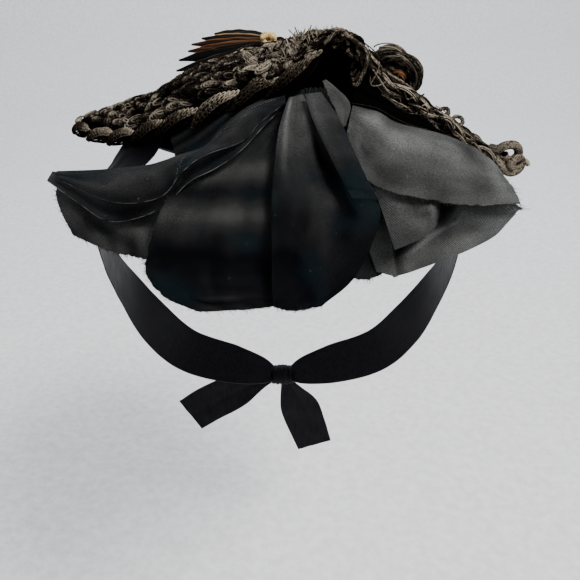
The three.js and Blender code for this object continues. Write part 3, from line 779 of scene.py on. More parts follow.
@dataclass
class LoopedBraid:
    """The rows of looped braid: nested loops of straw strand, overlapping like scales.

    lines and nest are shares of a row's and of a loop's width, swept the direction and spread where the
    loops are drawn out, coil the rings of the crown's middle, and crowded the small loops of the arch. A
    tuft is its direction, its spread, how many strands it has, how long they are and how thick.
    """

    brim: Brim
    wardrobe: Wardrobe
    pitch: float = 6.2
    lines: tuple[float, ...] = (0.82, 0.5, 0.18)
    nest: tuple[float, ...] = (1.0, 0.78, 0.57, 0.37, 0.18)
    steps: int = 14
    strand: float = 0.36
    length: float = 9.6
    width: float = 5.2
    swept: tuple[float, float] = (318, 26)
    coil: tuple[tuple[float, int], ...] = ((0.16, 13), (0.1, 8), (0.045, 5))
    crowded: int = 110
    seed: int = 7
    tufts: tuple[tuple[float, float, int, float, float], ...] = (
        (266, 5, 130, 2.1, 0.13),
        (274, 4, 180, 2.1, 0.13),
        (272.5, 2.2, 90, 3.9, 0.24),
        (285, 5, 90, 2.1, 0.13),
    )

    def loops(self, body: Body, azimuth: Array, share: Array, length: Array, width: Array,
              turn: Array, lift: Array, tone: Array) -> None:
        """Adds a set of loops, each a nest of strands that meet at its pointed end.

        Args:
            body: The body that takes them.
            azimuth: Direction of each loop's middle.
            share: Share of the reach of each loop's middle.
            length: Length of each loop.
            width: Width of each loop.
            turn: Turn of each loop out of the row, in radians.
            lift: Height of each loop's lower end.
            tone: Tone of each loop.
        """
        nest = np.array(self.nest)[None, :, None]
        way = np.linspace(0, 2 * np.pi, self.steps)[None, None, :]
        u = length[:, None, None] * (0.5 + (0.45 + 0.55 * nest) * (np.cos(way) - 1) / 2)
        w = width[:, None, None] / 2 * nest * np.sin(way) * np.abs(np.sin(way / 2)) ** 0.4
        turn = turn[:, None, None]
        du = u * np.cos(turn) - w * np.sin(turn)
        dw = u * np.sin(turn) + w * np.cos(turn)
        middle = share[:, None, None]
        reach = self.brim.reach(azimuth)[:, None, None]
        shares = middle + dw / reach
        azimuths = azimuth[:, None, None] + np.degrees(du / (reach * np.maximum(middle, 0.12)))
        lifts = lift[:, None, None] + 0.8 * np.sqrt(1.02 - nest ** 2) + 0.9 * (1 - np.cos(way)) / 2
        paths = self.brim.at(azimuths, shares, lifts)
        ups = self.brim.normal(azimuths, shares)
        count = len(azimuth) * len(self.nest)
        grain = np.random.default_rng(len(azimuth)).normal(0, 0.13, (len(azimuth), len(self.nest), 1))
        # Painted light and shade: each loop is lighter on its inner strands and towards its raised round end,
        # and darker on its outer strand. grain varies each strand at random.
        tones = tone[:, None, None] + grain + 0.25 * (1 - nest) + 0.34 * (1 - np.cos(way)) / 2 - 0.14
        full = (len(azimuth), len(self.nest), self.steps)
        body.strands(
            paths.reshape(count, self.steps, 3),
            np.full((count, self.steps), self.strand),
            ups.reshape(count, self.steps, 3),
            np.broadcast_to(tones, full).reshape(count, self.steps),
            4,
        )

    def bed(self, body: Body, inner: float, outer: float) -> None:
        """Adds the net that a row is sewn to, in the darkest tone as painted shade between the loops.

        Args:
            body: The body that takes it.
            inner: Share of the reach where the row starts.
            outer: Share of the reach where it ends.
        """
        azimuth = np.linspace(0, 360, 145)[:, None]
        share = np.linspace(inner - 0.02, outer, 6)[None]
        body.cloth(self.brim.at(azimuth, share, np.full((145, 6), 0.45)), 0.5, BED_SHADE_TONE)

    def sweep(self, azimuth: Array) -> Array:
        """Says how far the loops are drawn out into long strands, as on the right at the back."""
        return np.exp(-(((azimuth % 360) - self.swept[0]) / self.swept[1]) ** 4)

    def row(self, number: int) -> None:
        """Builds one row as staggered lines of loops.

        Args:
            number: The row's number, from 1 at the edge.
        """
        rng = np.random.default_rng(self.seed + number)
        outer = ROW_SHARES[number - 1]
        inner = ROW_SHARES[number]
        body = Body()
        self.bed(body, inner, 1.05 if number == 1 else outer)
        for line, place in enumerate(self.lines):
            share = inner + (outer - inner) * place
            around = 2 * np.pi * self.brim.reaches.mean() * share
            count = max(int(around / self.pitch), 6)
            azimuth = (np.arange(count) + 0.5 * (line % 2)) * 360 / count + rng.normal(0, 0.8, count)
            sweep = self.sweep(azimuth)
            length = (self.length + rng.normal(0, 1.2, count)) * (1 + 1.5 * sweep)
            width = (self.width + rng.normal(0, 0.7, count)) * (1 - 0.2 * sweep)
            turn = (0.2 + rng.normal(0, 0.24, count)) * (1 - 0.75 * sweep)
            lift = 0.3 + rng.uniform(0, 1.1, count)
            tone = 0.24 + rng.normal(0, 0.12, count) + 0.06 * sweep
            shares = share + rng.normal(0, 0.01, count)
            self.loops(body, azimuth, shares, length, width, turn, lift, tone)
        self.wardrobe.wear(body, f"looped_braid_{number}", Finish.BRAID, f"braid_row_{number}")

    def crown(self) -> None:
        """Builds the coil at the middle of the crown."""
        rng = np.random.default_rng(self.seed)
        body = Body()
        self.bed(body, 0.04, 0.2)
        for share, count in self.coil:
            azimuth = np.arange(count) * 360 / count + rng.normal(0, 3, count)
            self.loops(
                body, azimuth, np.full(count, share), np.full(count, 7.5), np.full(count, 4.6),
                np.full(count, 0.3), rng.uniform(0.8, 1.8, count), 0.26 + rng.normal(0, 0.08, count))
        self.wardrobe.wear(body, "crown_coil", Finish.BRAID, "crown_braid")

    def arch(self) -> None:
        """Builds the crowded small loops round the top of the arch, and their frayed tufts."""
        rng = np.random.default_rng(self.seed + 50)
        body = Body()
        count = self.crowded
        azimuth = rng.uniform(255, 293, count)
        share = rng.uniform(0.86, 1.03, count)
        self.loops(
            body, azimuth, share, rng.uniform(4.5, 7.5, count), rng.uniform(3, 4.6, count),
            rng.normal(0.2, 0.9, count), rng.uniform(1.2, 3.4, count), 0.26 + rng.normal(0, 0.26, count))
        for middle, spread, number, long, thick in self.tufts:
            roots = self.brim.at(
                rng.normal(middle, spread, number), rng.uniform(0.86, 1.0, number), np.full(number, 3.6))
            up = self.brim.normal(np.full(number, middle), np.full(number, 0.9))
            way = unit(up + rng.uniform(-0.8, 0.8, (number, 3)))
            bend = rng.uniform(-0.7, 0.7, (number, 3))
            t = np.linspace(0, 1, 5)[None, :, None]
            size = rng.uniform(0.3 * long, long, number)[:, None, None]
            paths = roots[:, None] + size * (t * way[:, None] + t * t * bend[:, None])
            tone = rng.uniform(0.5, 1.0, number)
            body.strands(paths, np.full((number, 5), thick), BACK, tone, 3)
        self.wardrobe.wear(body, "arch_loops", Finish.BRAID)

    def build(self) -> None:
        """Builds all rows, the coil and the arch's loops."""
        for number in range(1, len(ROW_SHARES)):
            self.row(number)
        self.crown()
        self.arch()


@dataclass(frozen=True)
class EdgeSpan:
    """One length of the edge: its node, where it starts and ends, a patch's length and the tone."""

    node: str
    start: float
    end: float
    patch: float
    tone: float


@dataclass
class RolledEdge:
    """The rolled edge of the brim, as a map from direction and height to a point.

    lowest and swept are the angles of its lower lip and of its whole roll. The roll's middle
    lies offset outside the brim's edge, and half_width and half_height are its own.
    """

    brim: Brim
    lowest: float = -58
    swept: float = 165
    offset: float = 3.0
    half_width: float = 2.3
    half_height: float = 1.7

    def point(self, azimuth: Array, height: Array, proud: Array) -> tuple[Array, Array]:
        """Maps a place on the rolled edge to a point and the direction away from it.

        Args:
            azimuth: Direction from the crown.
            height: From 0 at the lower lip to 1 on the brim.
            proud: How far the point stands off the roll.

        Returns:
            The points and the directions.
        """
        azimuth, height, proud = np.broadcast_arrays(azimuth, height, proud)
        angle = np.radians(self.lowest + self.swept * height)
        reach = self.brim.reach(azimuth)
        normal = self.brim.normal(azimuth, np.full_like(azimuth, 0.95))
        way = np.radians(azimuth)
        out = np.stack([np.cos(way), np.sin(way), np.zeros_like(way)], -1)
        out = unit(out - normal * np.sum(out * normal, -1, keepdims=True))
        middle = self.brim.face(azimuth, 1 + 0.35 / reach) + out * self.offset
        away = out * np.cos(angle)[..., None] * 1.1 + normal * np.sin(angle)[..., None]
        point = middle + out * (np.cos(angle) * (self.half_width + proud))[..., None]
        point = point + normal * (np.sin(angle) * (self.half_height + proud))[..., None]
        return point, unit(away)

    def bed(self, body: Body, start: float, end: float) -> None:
        """Adds the core that the stitches lie on, in the darkest tone as painted shade between them.

        Args:
            body: The body that takes it.
            start: Direction where it starts.
            end: Direction where it ends.
        """
        steps = max(int(abs(end - start) / 1.5), 8)
        azimuth = np.linspace(start, end, steps)[:, None]
        body.cloth(self.point(azimuth, np.linspace(0, 1, 9)[None], 0.0)[0], 0.9, BED_SHADE_TONE)


@dataclass
class ChainEdge:
    """The plait along the edge, in overlapping leaf-shaped patches of ribs and chain stitch."""

    edge: RolledEdge
    wardrobe: Wardrobe
    seed: int = 21
    stitch: float = 1.35
    ribs: int = 11
    steps: int = 13
    half_patch: float = 0.34
    rib_radius: float = 0.3
    thread_radius: float = 0.2
    rows: tuple[float, ...] = (0.98, 0.66, 0.34)
    spans: tuple[EdgeSpan, ...] = (
        EdgeSpan("edge_plait_left", 187.5, 275.5, 13.5, 0.14),
        EdgeSpan("edge_plait_front", -16.6, 186.6, 13.5, 0.14),
    )

    def outline(self, t: Array) -> Array:
        """Gives the half width of a patch along its length, as a share of its widest."""
        return 1.22 * np.sin(np.pi * np.clip(t, 0.02, 0.98)) ** 0.9 * (1.12 - 0.24 * t)

    def patch(self, body: Body, centre: float, length: float, tone: float, rng: np.random.Generator) -> None:
        """Adds one patch: ribs underneath and rows of chain stitch along its upper side.

        Args:
            body: The body that takes it.
            centre: Direction of its middle.
            length: Its length along the edge.
            tone: Its tone.
            rng: Random numbers.
        """
        reach = float(self.edge.brim.reach(centre))
        slope = rng.uniform(0.42, 0.72)
        base = rng.uniform(0.38, 0.5)
        lean = rng.uniform(0.5, 1.2) + 0.6 * math.exp(-((centre - 245) / 28) ** 2)
        t = np.linspace(0, 1, self.steps)
        azimuth = centre + np.degrees((t - 0.5) * length / reach)
        for rib in np.linspace(-1, 1, self.ribs):
            height = base + slope * (t - 0.5) + self.half_patch * rib * self.outline(t)
            proud = 0.3 + lean * (1 - t) + 0.5 * math.sqrt(max(1.1 - rib * rib, 0))
            point, away = self.edge.point(azimuth, height, proud)
            # Painted light: the outermost ribs of a patch are lighter, a highlight along its outline, and
            # ribs lighten to one side and towards the far end. The normal term varies them at random.
            rim = 0.34 if abs(rib) > 0.95 else 0.0
            shade = tone - 0.2 + rim + 0.08 * rng.normal() + 0.14 * rib + 0.22 * t
            body.strands(point[None], np.full((1, self.steps), self.rib_radius), away[None], shade[None], 4)
        for row in self.rows:
            count = int(length * 0.9 / self.stitch)
            places = (np.arange(count) + 0.5) / count
            turn = np.linspace(0, 2 * np.pi, 9)[None]
            u = (places[:, None] - 0.5) * length * 0.9 + 0.8 * self.stitch * np.cos(turn)
            t_row = u / length + 0.5
            w = 0.05 * np.sin(turn) * (1 + 0.35 * np.cos(turn))
            spread = self.half_patch * row * self.outline(places)[:, None]
            height = base + slope * (t_row - 0.5) + spread + w
            proud = 0.85 + lean * (1 - t_row) + 0.5 * math.sqrt(1.1 - row * row) + 0.15 * np.cos(turn)
            point, away = self.edge.point(centre + np.degrees(u / reach), height, proud)
            # Painted light: stitches are lighter on the upper rows and towards the patch's far end.
            tones = tone + 0.1 + 0.25 * row + 0.7 * (places - 0.35)
            body.strands(point, np.full(point.shape[:2], self.thread_radius), away, tones, 4)

    def build(self) -> None:
        """Builds each length of the edge."""
        for number, span in enumerate(self.spans):
            rng = np.random.default_rng(self.seed + number)
            body = Body()
            self.edge.bed(body, span.start, span.end)
            around = math.radians(abs(span.end - span.start)) * float(self.edge.brim.reaches.mean())
            count = max(int(around / span.patch), 2)
            width = (span.end - span.start) / count
            for i in range(count):
                centre = span.start + width * (i + 0.5 + rng.normal(0, 0.08))
                length = around / count * rng.uniform(1.12, 1.34)
                self.patch(body, centre, length, span.tone + rng.normal(0, 0.07), rng)
            self.wardrobe.wear(body, span.node.replace("plait", "chain"), Finish.CHAIN, span.node)


@dataclass
class SweptEdge:
    """The right part of the edge: ribbons of long strands that draw together into a cord.

    They start to gather at the share gather_from of their run, and have gathered after gather_over.
    """

    edge: RolledEdge
    wardrobe: Wardrobe
    start: float = 284.6
    end: float = 339.4
    ribbons: int = 10
    ribs: int = 8
    steps: int = 90
    gather_from: float = 0.58
    gather_over: float = 0.26
    waves: float = 4
    strand: float = 0.22
    cord_swell: float = 0.1
    strays: int = 34
    stray_steps: int = 24
    stray_radius: float = 0.2
    seed: int = 33

    def ribbon(self, body: Body, number: int, rng: np.random.Generator) -> None:
        """Adds one ribbon of strands, which lies loose at first and then joins the cord.

        Args:
            body: The body that takes it.
            number: The ribbon's number.
            rng: Random numbers.
        """
        t = np.linspace(0, 1, self.steps)
        azimuth = self.start + (self.end - self.start) * t
        gather = np.clip((t - self.gather_from) / self.gather_over, 0, 1)
        gather = gather * gather * (3 - 2 * gather)
        phase = rng.uniform(0, 1, 3)
        hand = 1 if number % 2 else -1
        sway = 0.1 * np.sin(2 * np.pi * (3.1 * t + phase[0]))
        loose = -0.06 + 1.16 * number / (self.ribbons - 1) + sway
        cord = 0.55 + 0.17 * hand * np.cos(2 * np.pi * self.waves * t)
        swell = 0.9 + 1.0 * np.sin(2 * np.pi * (3.7 * t + phase[1]))
        twist = 1.4 + 0.9 * hand * np.sin(2 * np.pi * self.waves * t)
        for rib in np.linspace(-1, 1, self.ribs):
            height = loose + 0.07 * rib * (1 + 0.4 * np.sin(2 * np.pi * (self.waves * t + phase[2])))
            height = height * (1 - gather) + (cord + 0.12 * rib) * gather
            proud = (swell + 0.35 * (1 - rib * rib)) * (1 - gather)
            proud = proud + (twist - 1.5 + 0.7 * (1 - rib * rib) - 0.15 * (number // 2)) * gather
            point, away = self.edge.point(azimuth, height, proud)
            # Strands are painted lighter where they swell out and darker at a ribbon's sides and next to the
            # arch, as light and shade. They are also lighter in the cord and vary at random.
            tone = 0.17 + 0.22 * rng.normal() + 0.32 * (swell - 0.6) * (1 - gather)
            tone = tone - 0.12 * abs(rib) + 0.34 * gather
            tone = tone - 0.08 * np.exp(-(t / 0.2) ** 2)
            radii = np.full((1, self.steps), self.strand) + self.cord_swell * gather
            body.strands(point[None], radii, away[None], tone[None], 5)

    def stray(self, body: Body, rng: np.random.Generator) -> None:
        """Adds one strand that strays over the ribbons.

        Args:
            body: The body that takes it.
            rng: Random numbers.
        """
        start, size = rng.uniform(0, 0.6), rng.uniform(0.05, 0.16)
        part = np.linspace(0, 1, self.stray_steps)
        around = self.start + (self.end - self.start) * (start + size * part)
        height = rng.uniform(-0.1, 1.1) + rng.normal(0, 0.3) * np.sin(np.pi * part + rng.uniform(-1, 1))
        proud = 1.2 + rng.uniform(0, 1.4) + rng.uniform(0, 1.2) * np.sin(np.pi * part)
        point, away = self.edge.point(around, height, proud)
        radii = np.full((1, self.stray_steps), self.stray_radius)
        body.strands(point[None], radii, away[None], np.array([rng.uniform(0.2, 0.85)]), 4)

    def build(self) -> None:
        """Builds the strands and the cord."""
        rng = np.random.default_rng(self.seed)
        body = Body()
        self.edge.bed(body, self.start, self.end - 9)
        for number in range(self.ribbons):
            self.ribbon(body, number, rng)
        for _ in range(self.strays):
            self.stray(body, rng)
        self.wardrobe.wear(body, "edge_strands_right", Finish.CHAIN, "edge_plait_right")


@dataclass
class Curls:
    """The curled knot on the right tip, the arch's frill and the ringlets beside the cord."""

    wardrobe: Wardrobe
    knot: tuple[tuple[Triple, ...], ...] = (
        ((81.7, -24, -31.6), (84.5, -26, -31.6), (86.5, -27, -30.2), (89.9, -26.6, -29.9),
         (92.3, -25.6, -31.8), (92.8, -24.4, -34.6), (90.6, -24.6, -36.2), (87.6, -25.6, -35.2),
         (86.8, -27, -33.4)),
        ((84, -24, -33.6), (86.4, -27.4, -38), (89.1, -28, -40.1), (92.4, -27.2, -39.6), (94.2, -26, -37.4),
         (93.2, -26.4, -35.2), (90.6, -28, -35.4), (89, -28.6, -37.2), (90.6, -28.8, -38.4)),
        ((91.6, -25.6, -37.6), (94.2, -25.4, -35.8), (96.4, -25.2, -36.6), (97.4, -25, -38.2)),
    )
    frill: tuple[Triple, ...] = (
        (16.5, -54, 9.6), (19, -56.4, 11.6), (21.6, -57.4, 12.0), (24.6, -58, 11.4), (26.9, -58.4, 8.8),
        (27.9, -58.4, 5.2), (28, -58, 1.4), (26.6, -57.4, -1.8), (24.2, -56.6, -2.4))
    frill_cords: tuple[tuple[float, float], ...] = (
        (-0.6, 0.4), (0.5, 0.05), (1.5, 0.34), (2.6, 0.0), (3.6, 0.3), (4.8, -0.1), (6.0, 0.2))
    eye: Triple = (4.6, -274.8, 25.5)
    near: float = 0.955
    ringlets: tuple[tuple[Triple, ...], ...] = (
        ((56.4, -42, -15.4), (57.6, -42.6, -13.8), (59.4, -43, -13.8), (59.9, -43, -15.4), (58.4, -43, -16)),
        ((62, -41, -17.6), (63, -41.6, -16.6), (65, -41.8, -17.2), (65.6, -41.6, -19), (64, -41.6, -19.6)),
    )

    def lines(self, body: Body, routes: tuple, wide: float, count: int, thick: float, tone: float) -> None:
        """Adds a rope along each route.

        Args:
            body: The body that takes them.
            routes: Points that each rope goes through.
            wide: Half the width of a rope.
            count: Strands in a rope.
            thick: Radius of a strand.
            tone: Tone of the strands.
        """
        for route in routes:
            path = catmull(np.array(route, float), np.linspace(0, 1, 40)) + np.array([0, 0, 0.8])
            body.rope(path, TO_EYE, wide, wide, count, 1.5, thick, tone)

    def fall(self, body: Body) -> None:
        """Adds the frill: cords side by side, brought a little nearer the eye than their outline.

        Args:
            body: The body that takes it.
        """
        eye = np.array(self.eye)
        path = eye + (catmull(np.array(self.frill, float), np.linspace(0, 1, 60)) - eye) * self.near
        for inset, tone in self.frill_cords:
            middle = path.mean(0) + (path - path.mean(0)) * (1 - inset / 11)
            phase = np.linspace(inset, 15 + 3 * inset, 60)[:, None]
            wave = 1.1 * np.sin(phase) * np.array([0.7, 0.5, 0.7])
            cord = middle + wave + np.array([0, 0.4 * inset, 0])
            body.rope(cord, TO_EYE, 0.62, 0.6, 6, 3.5, 0.2, tone)

    def build(self) -> None:
        """Builds the knot, the frill and the ringlets."""
        body = Body()
        self.lines(body, self.knot[:2], 1.65, 12, 0.34, 0.46)
        self.lines(body, self.knot[2:], 0.8, 6, 0.3, 0.66)
        self.wardrobe.wear(body, "tip_knot", Finish.CHAIN, "tip_curl")
        body = Body()
        self.fall(body)
        self.lines(body, self.ringlets, 0.65, 5, 0.27, 0.45)
        self.wardrobe.wear(body, "arch_frill", Finish.CHAIN)


@dataclass
class Rosette:
    """Arches of cord, one inside the other, that lean back from the brim.

    An arch is its node, its radius, half its width and height, and how far it stands off their plane.
    disc holds the upper and the lower radius of the dark disc behind them.
    """

    brim: Brim
    wardrobe: Wardrobe
    azimuth: float = 314.0
    share: float = 0.72
    lift: float = 4.6
    lean: float = 52.0
    start: float = -14.0
    end: float = 194.0
    cords: int = 5
    legs: Triple = (8.0, 5.0, 2.5)
    strays: int = 46
    disc: tuple[float, float] = (8.8, 4.6)
    arches: tuple[tuple[str, float, float, float, float], ...] = (
        ("rosette_loop_1", 8.8, 1.7, 2.3, 0.0),
        ("rosette_loop_2", 5.9, 1.6, 2.4, 0.8),
        ("rosette_loop_3", 2.9, 1.4, 2.3, 1.6),
    )

    def __post_init__(self) -> None:
        """Works out the plane that the arches lie in, from the brim under them."""
        azimuth, share = np.array(self.azimuth), np.array(self.share)
        lean = math.radians(self.lean)
        normal = self.brim.normal(azimuth, share)
        self.centre = self.brim.at(azimuth, share, np.array(self.lift))
        self.side = unit(np.array([1.0, 0, 0]) - normal * normal[0])
        self.up = normal * math.cos(lean) + np.cross(self.side, normal) * math.sin(lean)
        self.face = np.cross(self.side, self.up)

    def spokes(self, turn: Array) -> Array:
        """Gives the directions at turns round the plane, from its right side."""
        return np.cos(turn) * self.side + np.sin(turn) * self.up

    def arch(self, body: Body, number: int, radius: float, wide: float, high: float, rise: float) -> None:
        """Adds one arch as a bundle of glossy cords.

        Args:
            body: The body that takes it.
            number: The arch's number, from 0 for the largest.
            radius: Its radius.
            wide: Half its width in the plane.
            high: Half its height off the plane.
            rise: How far it stands off the plane.
        """
        rng = np.random.default_rng(number + 3)
        turn = np.radians(np.linspace(self.start, self.end, 36))[:, None]
        legs = np.array(self.legs)[:, None] * -self.up
        for cord in range(self.cords):
            phase = rng.uniform(0, 2 * np.pi, 3)
            reach = radius + wide * (0.25 * (cord - 2) + 0.35 * np.sin(2.2 * turn + phase[0]))
            out = high * (0.45 * np.sin(1.7 * cord + 1) + 0.3 * np.sin(2.9 * turn + phase[1]))
            arch = self.centre + reach * self.spokes(turn) + self.face * (rise + out)
            path = np.vstack([arch[0] + legs * 0.8, arch, arch[-1] + legs[::-1]])
            tone = 0.22 + 0.7 * rng.uniform() + 0.1 * number
            body.rope(path, self.face, 0.72, 0.8, 6, 1.3 + 0.4 * rng.normal(), 0.3, tone, 4)

    def loose(self, body: Body) -> None:
        """Adds loose strands that stray between the arches.

        Args:
            body: The body that takes them.
        """
        rng = np.random.default_rng(5)
        turn = np.linspace(0, 1, 26)[:, None]
        for _ in range(self.strays):
            middle = self.centre + self.side * rng.uniform(-3.5, 3.5) + self.up * rng.uniform(-3, 2)
            middle = middle + self.face * rng.uniform(-1.5, 2.4)
            way = math.radians(rng.uniform(-40, 20)) + turn * math.radians(rng.uniform(130, 230))
            size = rng.uniform(2.5, 8.2)
            path = middle + size * (np.cos(way) * self.side + 0.9 * np.sin(way) * self.up)
            path = path + self.face * np.sin(3 * way) * 0.5
            radii = np.full((1, 26), rng.uniform(0.2, 0.36))
            body.strands(path[None], radii, self.face, np.array([rng.uniform(0.45, 1.3)]), 4)

    def heart(self) -> None:
        """Builds the disc behind the arches, in the darkest tone as painted shade, and the coil at their
        middle.
        """
        body = Body()
        around = np.radians(np.linspace(0, 360, 61))[:, None, None]
        out = np.linspace(0.02, 1, 8)[None, :, None] * np.where(np.sin(around) > -0.3, *self.disc)
        body.cloth(self.centre + out * self.spokes(around) - self.up * 2.5 - self.face * 0.8, 0.5, BED_SHADE_TONE)
        turn = np.linspace(0, 5 * np.pi, 60)[:, None]
        middle = self.centre + self.up * 2.8 + self.side * 1.6 + self.face * 3.4
        coil = middle + (0.5 + 0.11 * turn) * self.spokes(turn) + self.face * 0.05 * turn
        body.rope(coil, self.face, 0.75, 0.9, 4, 2, 0.4, 0.6)
        self.wardrobe.wear(body, "rosette_coil", Finish.LEAF_BROWN, "rosette_heart")

    def build(self) -> None:
        """Builds the arches, with the loose strands on the largest, and the heart."""
        for number, (name, *sizes) in enumerate(self.arches):
            body = Body()
            self.arch(body, number, *sizes)
            if number == 0:
                self.loose(body)
            self.wardrobe.wear(body, name.replace("loop", "cord"), Finish.BRAID, name)
        self.heart()


@dataclass
class LeafFan:
    """The fan of pointed straw leaves, its wrapped stem and the cream knot."""

    wardrobe: Wardrobe
    root: Triple = (-2.6, 4.7, 0.12)
    profile: tuple[float, ...] = (0.3, 0.8, 1.0, 0.95, 0.7, 0.1)
    lean: float = 20.0
    stem_turns: int = 17
    stem_middle: Triple = (0.2, 13, 4.9)
    stem_half: Triple = (2.2, 10.4, 1.4)
    stem_strand: float = 0.5
    knot_strand: float = 0.85
    rows: tuple[tuple[Triple, float, Finish], ...] = (
        ((-42, 5.2, -5.9), 2.2, Finish.LEAF_DARK),
        ((-41, 7.2, -1.9), 2.5, Finish.LEAF_DARK),
        ((-37.4, 9.8, 1.3), 2.2, Finish.LEAF_BROWN),
        ((-36.2, 12.4, 3.8), 2.1, Finish.LEAF_BROWN),
        ((-32.2, 15, 5.9), 2.0, Finish.LEAF_DARK),
        ((-27, 17.6, 7), 1.5, Finish.LEAF_TAN),
        ((-27.4, 20.2, 7.4), 2.8, Finish.LEAF_DARK),
    )

    def leaf(self, number: int, tip: Triple, half: float, finish: Finish) -> None:
        """Builds one leaf with a folded middle rib, painted with a highlight along its edges that grows
        toward the tip and is lightest on the lower edge, and painted shade toward its upper side.

        Args:
            number: The leaf's number.
            tip: Its tip.
            half: Its half width.
            finish: Its finish.
        """
        end = np.array(tip, float)
        root = np.array([self.root[0], end[1], self.root[1] + self.root[2] * end[2]])
        along = unit(end - root)
        lean = math.radians(self.lean + (11 if number % 2 else -7))
        flat_side = unit(np.cross(along, np.array([0.0, 1.0, 0.0])))
        flat_face = np.cross(along, flat_side)
        side = flat_side * math.cos(lean) + flat_face * math.sin(lean)
        face = flat_face * math.cos(lean) - flat_side * math.sin(lean)
        u = np.linspace(0, 1, 24)
        share = np.interp(u, np.linspace(0, 1, len(self.profile)), self.profile)
        share = share * (1 + 0.05 * np.sin(23 * u + number))
        v = np.linspace(-1, 1, 11)
        middle = root + (end - root) * u[:, None]
        fold = 0.75 * (1 - np.abs(v))[None] * share[:, None]
        fold = fold + 0.35 * np.sin(np.pi * u)[:, None] * v[None] ** 2
        grid = middle[:, None] + side * (half * share[:, None] * v[None])[..., None] + face * fold[..., None]
        # streak holds the straw's own lengthwise streaks and painted shade toward the upper side; tone adds a
        # painted highlight along both edges, growing toward the tip.
        streak = 0.14 * np.sin(11 * v + number)[None] - 0.12 * v[None]
        tone = 0.3 + 0.8 * np.clip((np.abs(v) - 0.82) * 8, 0, 1)[None] * u[:, None] + streak
        body = Body()
        body.cloth(grid, 0.8, tone)
        self.wardrobe.wear(body, f"straw_leaf_{number}", finish, f"leaf_{number}")

    def stem(self) -> None:
        """Builds the stem, wrapped all along with one strand."""
        t = np.linspace(0, 1, 260)
        girth = np.sqrt(np.clip(1.02 - (2 * t - 1) ** 2, 0, 1))
        turn = 2 * np.pi * self.stem_turns * t
        path = np.stack([
            self.stem_middle[0] + self.stem_half[0] * girth * np.cos(turn),
            self.stem_middle[1] + self.stem_half[1] * (2 * t - 1),
            self.stem_middle[2] + self.stem_half[2] * girth * np.sin(turn),
        ], -1)
        body = Body()
        radii = np.full((1, 260), self.stem_strand)
        body.strands(path[None], radii, np.array([0.0, 1.0, 0.0]), np.array([0.35]), 6)
        self.wardrobe.wear(body, "wrapped_stem", Finish.BRAID, "leaf_stem")

    def knot(self) -> None:
        """Builds the cream knot as one cord that winds over itself."""
        turn = 2 * np.pi * np.linspace(0, 1, 260)
        wrap = np.stack([
            -4 + 2.3 * np.cos(3 * turn) * (1 + 0.1 * np.cos(5 * turn)),
            2.0 + 1.9 * np.sin(4 * turn + 0.5),
            7.2 + 2.1 * np.sin(3 * turn) * np.cos(turn + 0.4),
        ], -1)
        body = Body()
        radii = np.full((1, 260), self.knot_strand)
        body.strands(wrap[None], radii, np.array([0.1, 0.2, 1.0]), np.array([0.5]), 7)
        self.wardrobe.wear(body, "cream_knot", Finish.CREAM, "leaf_knot")

    def build(self) -> None:
        """Builds the leaves, the stem and the knot."""
        for number, (tip, half, finish) in enumerate(self.rows, 1):
            self.leaf(number, tip, half, finish)
        self.stem()
        self.knot()


@dataclass
class Bindings:
    """The bow's gathered root and the ribbons' knot."""

    wardrobe: Wardrobe
    gather_middle: Triple = (13.8, -61.4, -7.8)
    gather_half: float = 7.3
    gather_radius: float = 4.3
    knot_middle: Triple = (0.0, 60.0, -187.0)
    knot_half: float = 7.4
    knot_radius: float = 5.7

    def gather(self) -> None:
        """Builds the gathered root: silk drawn into fine uneven pleats."""
        t = np.linspace(-1, 1, 130)
        pleats = 0.34 * np.abs(np.sin(2 * np.pi * 4.6 * t)) + 0.16 * np.sin(31 * t) - 0.2
        radius = self.gather_radius * np.sqrt(np.clip(1.06 - t ** 4, 0.05, None)) + pleats
        path = np.array(self.gather_middle)
        path = path + np.stack([self.gather_half * t, 0.15 * np.sin(9 * t), 0 * t], -1)
        body = Body()
        # The pleats' crests are painted lighter and the hollows between them darker, as light and shade.
        body.strands(path[None], radius[None], UP, (0.3 + 0.7 * pleats)[None], 36)
        self.wardrobe.wear(body, "silk_gather", Finish.SILK, "bow_gather")

    def knot(self) -> None:
        """Builds the ribbons' knot: folded satin wrapped round its middle."""
        body = Body()
        turn = np.linspace(0, 2 * np.pi, 40)
        for i, place in enumerate(np.linspace(-0.62, 0.62, 5)):
            radius = (self.knot_radius - 1.5) * math.sqrt(1.05 - 0.5 * place * place)
            ring = np.array(self.knot_middle) + np.stack([
                self.knot_half * place + 0.5 * np.sin(turn + i),
                radius * 0.92 * np.cos(turn),
                radius * 1.08 * np.sin(turn),
            ], -1)
            body.strands(ring[None], np.full((1, 40), 1.75), np.array([1.0, 0.02, 0.01]), np.array([0.5]), 10)
        t = np.linspace(-1, 1, 30)
        core = (self.knot_radius - 1.2) * np.sqrt(1.05 - t ** 4)
        path = np.array(self.knot_middle) + np.stack([self.knot_half * t, 0 * t, 0 * t], -1)
        body.strands(path[None], core[None], UP, np.array([0.4]), 20)
        self.wardrobe.wear(body, "satin_knot", Finish.SATIN, "tie_knot")

    def build(self) -> None:
        """Builds both."""
        self.gather()
        self.knot()


@dataclass(frozen=True)
class Row:
    """One row of a cloth panel: its two edge points and how far it bellies out between them."""

    a: Triple
    b: Triple
    belly: float = 0.0


@dataclass(frozen=True)
class Fold:
    """A soft fold in a panel, along a line from one place to another.

    Places are shares along and across the panel. depth is positive where the cloth stands proud.
    """

    start: tuple[float, float]
    end: tuple[float, float]
    width: float
    depth: float


class Edge(Enum):
    """The four edges of a panel: the a edge, the b edge, its root and its far end."""

    A = "a"
    B = "b"
    ROOT = "root"
    END = "end"


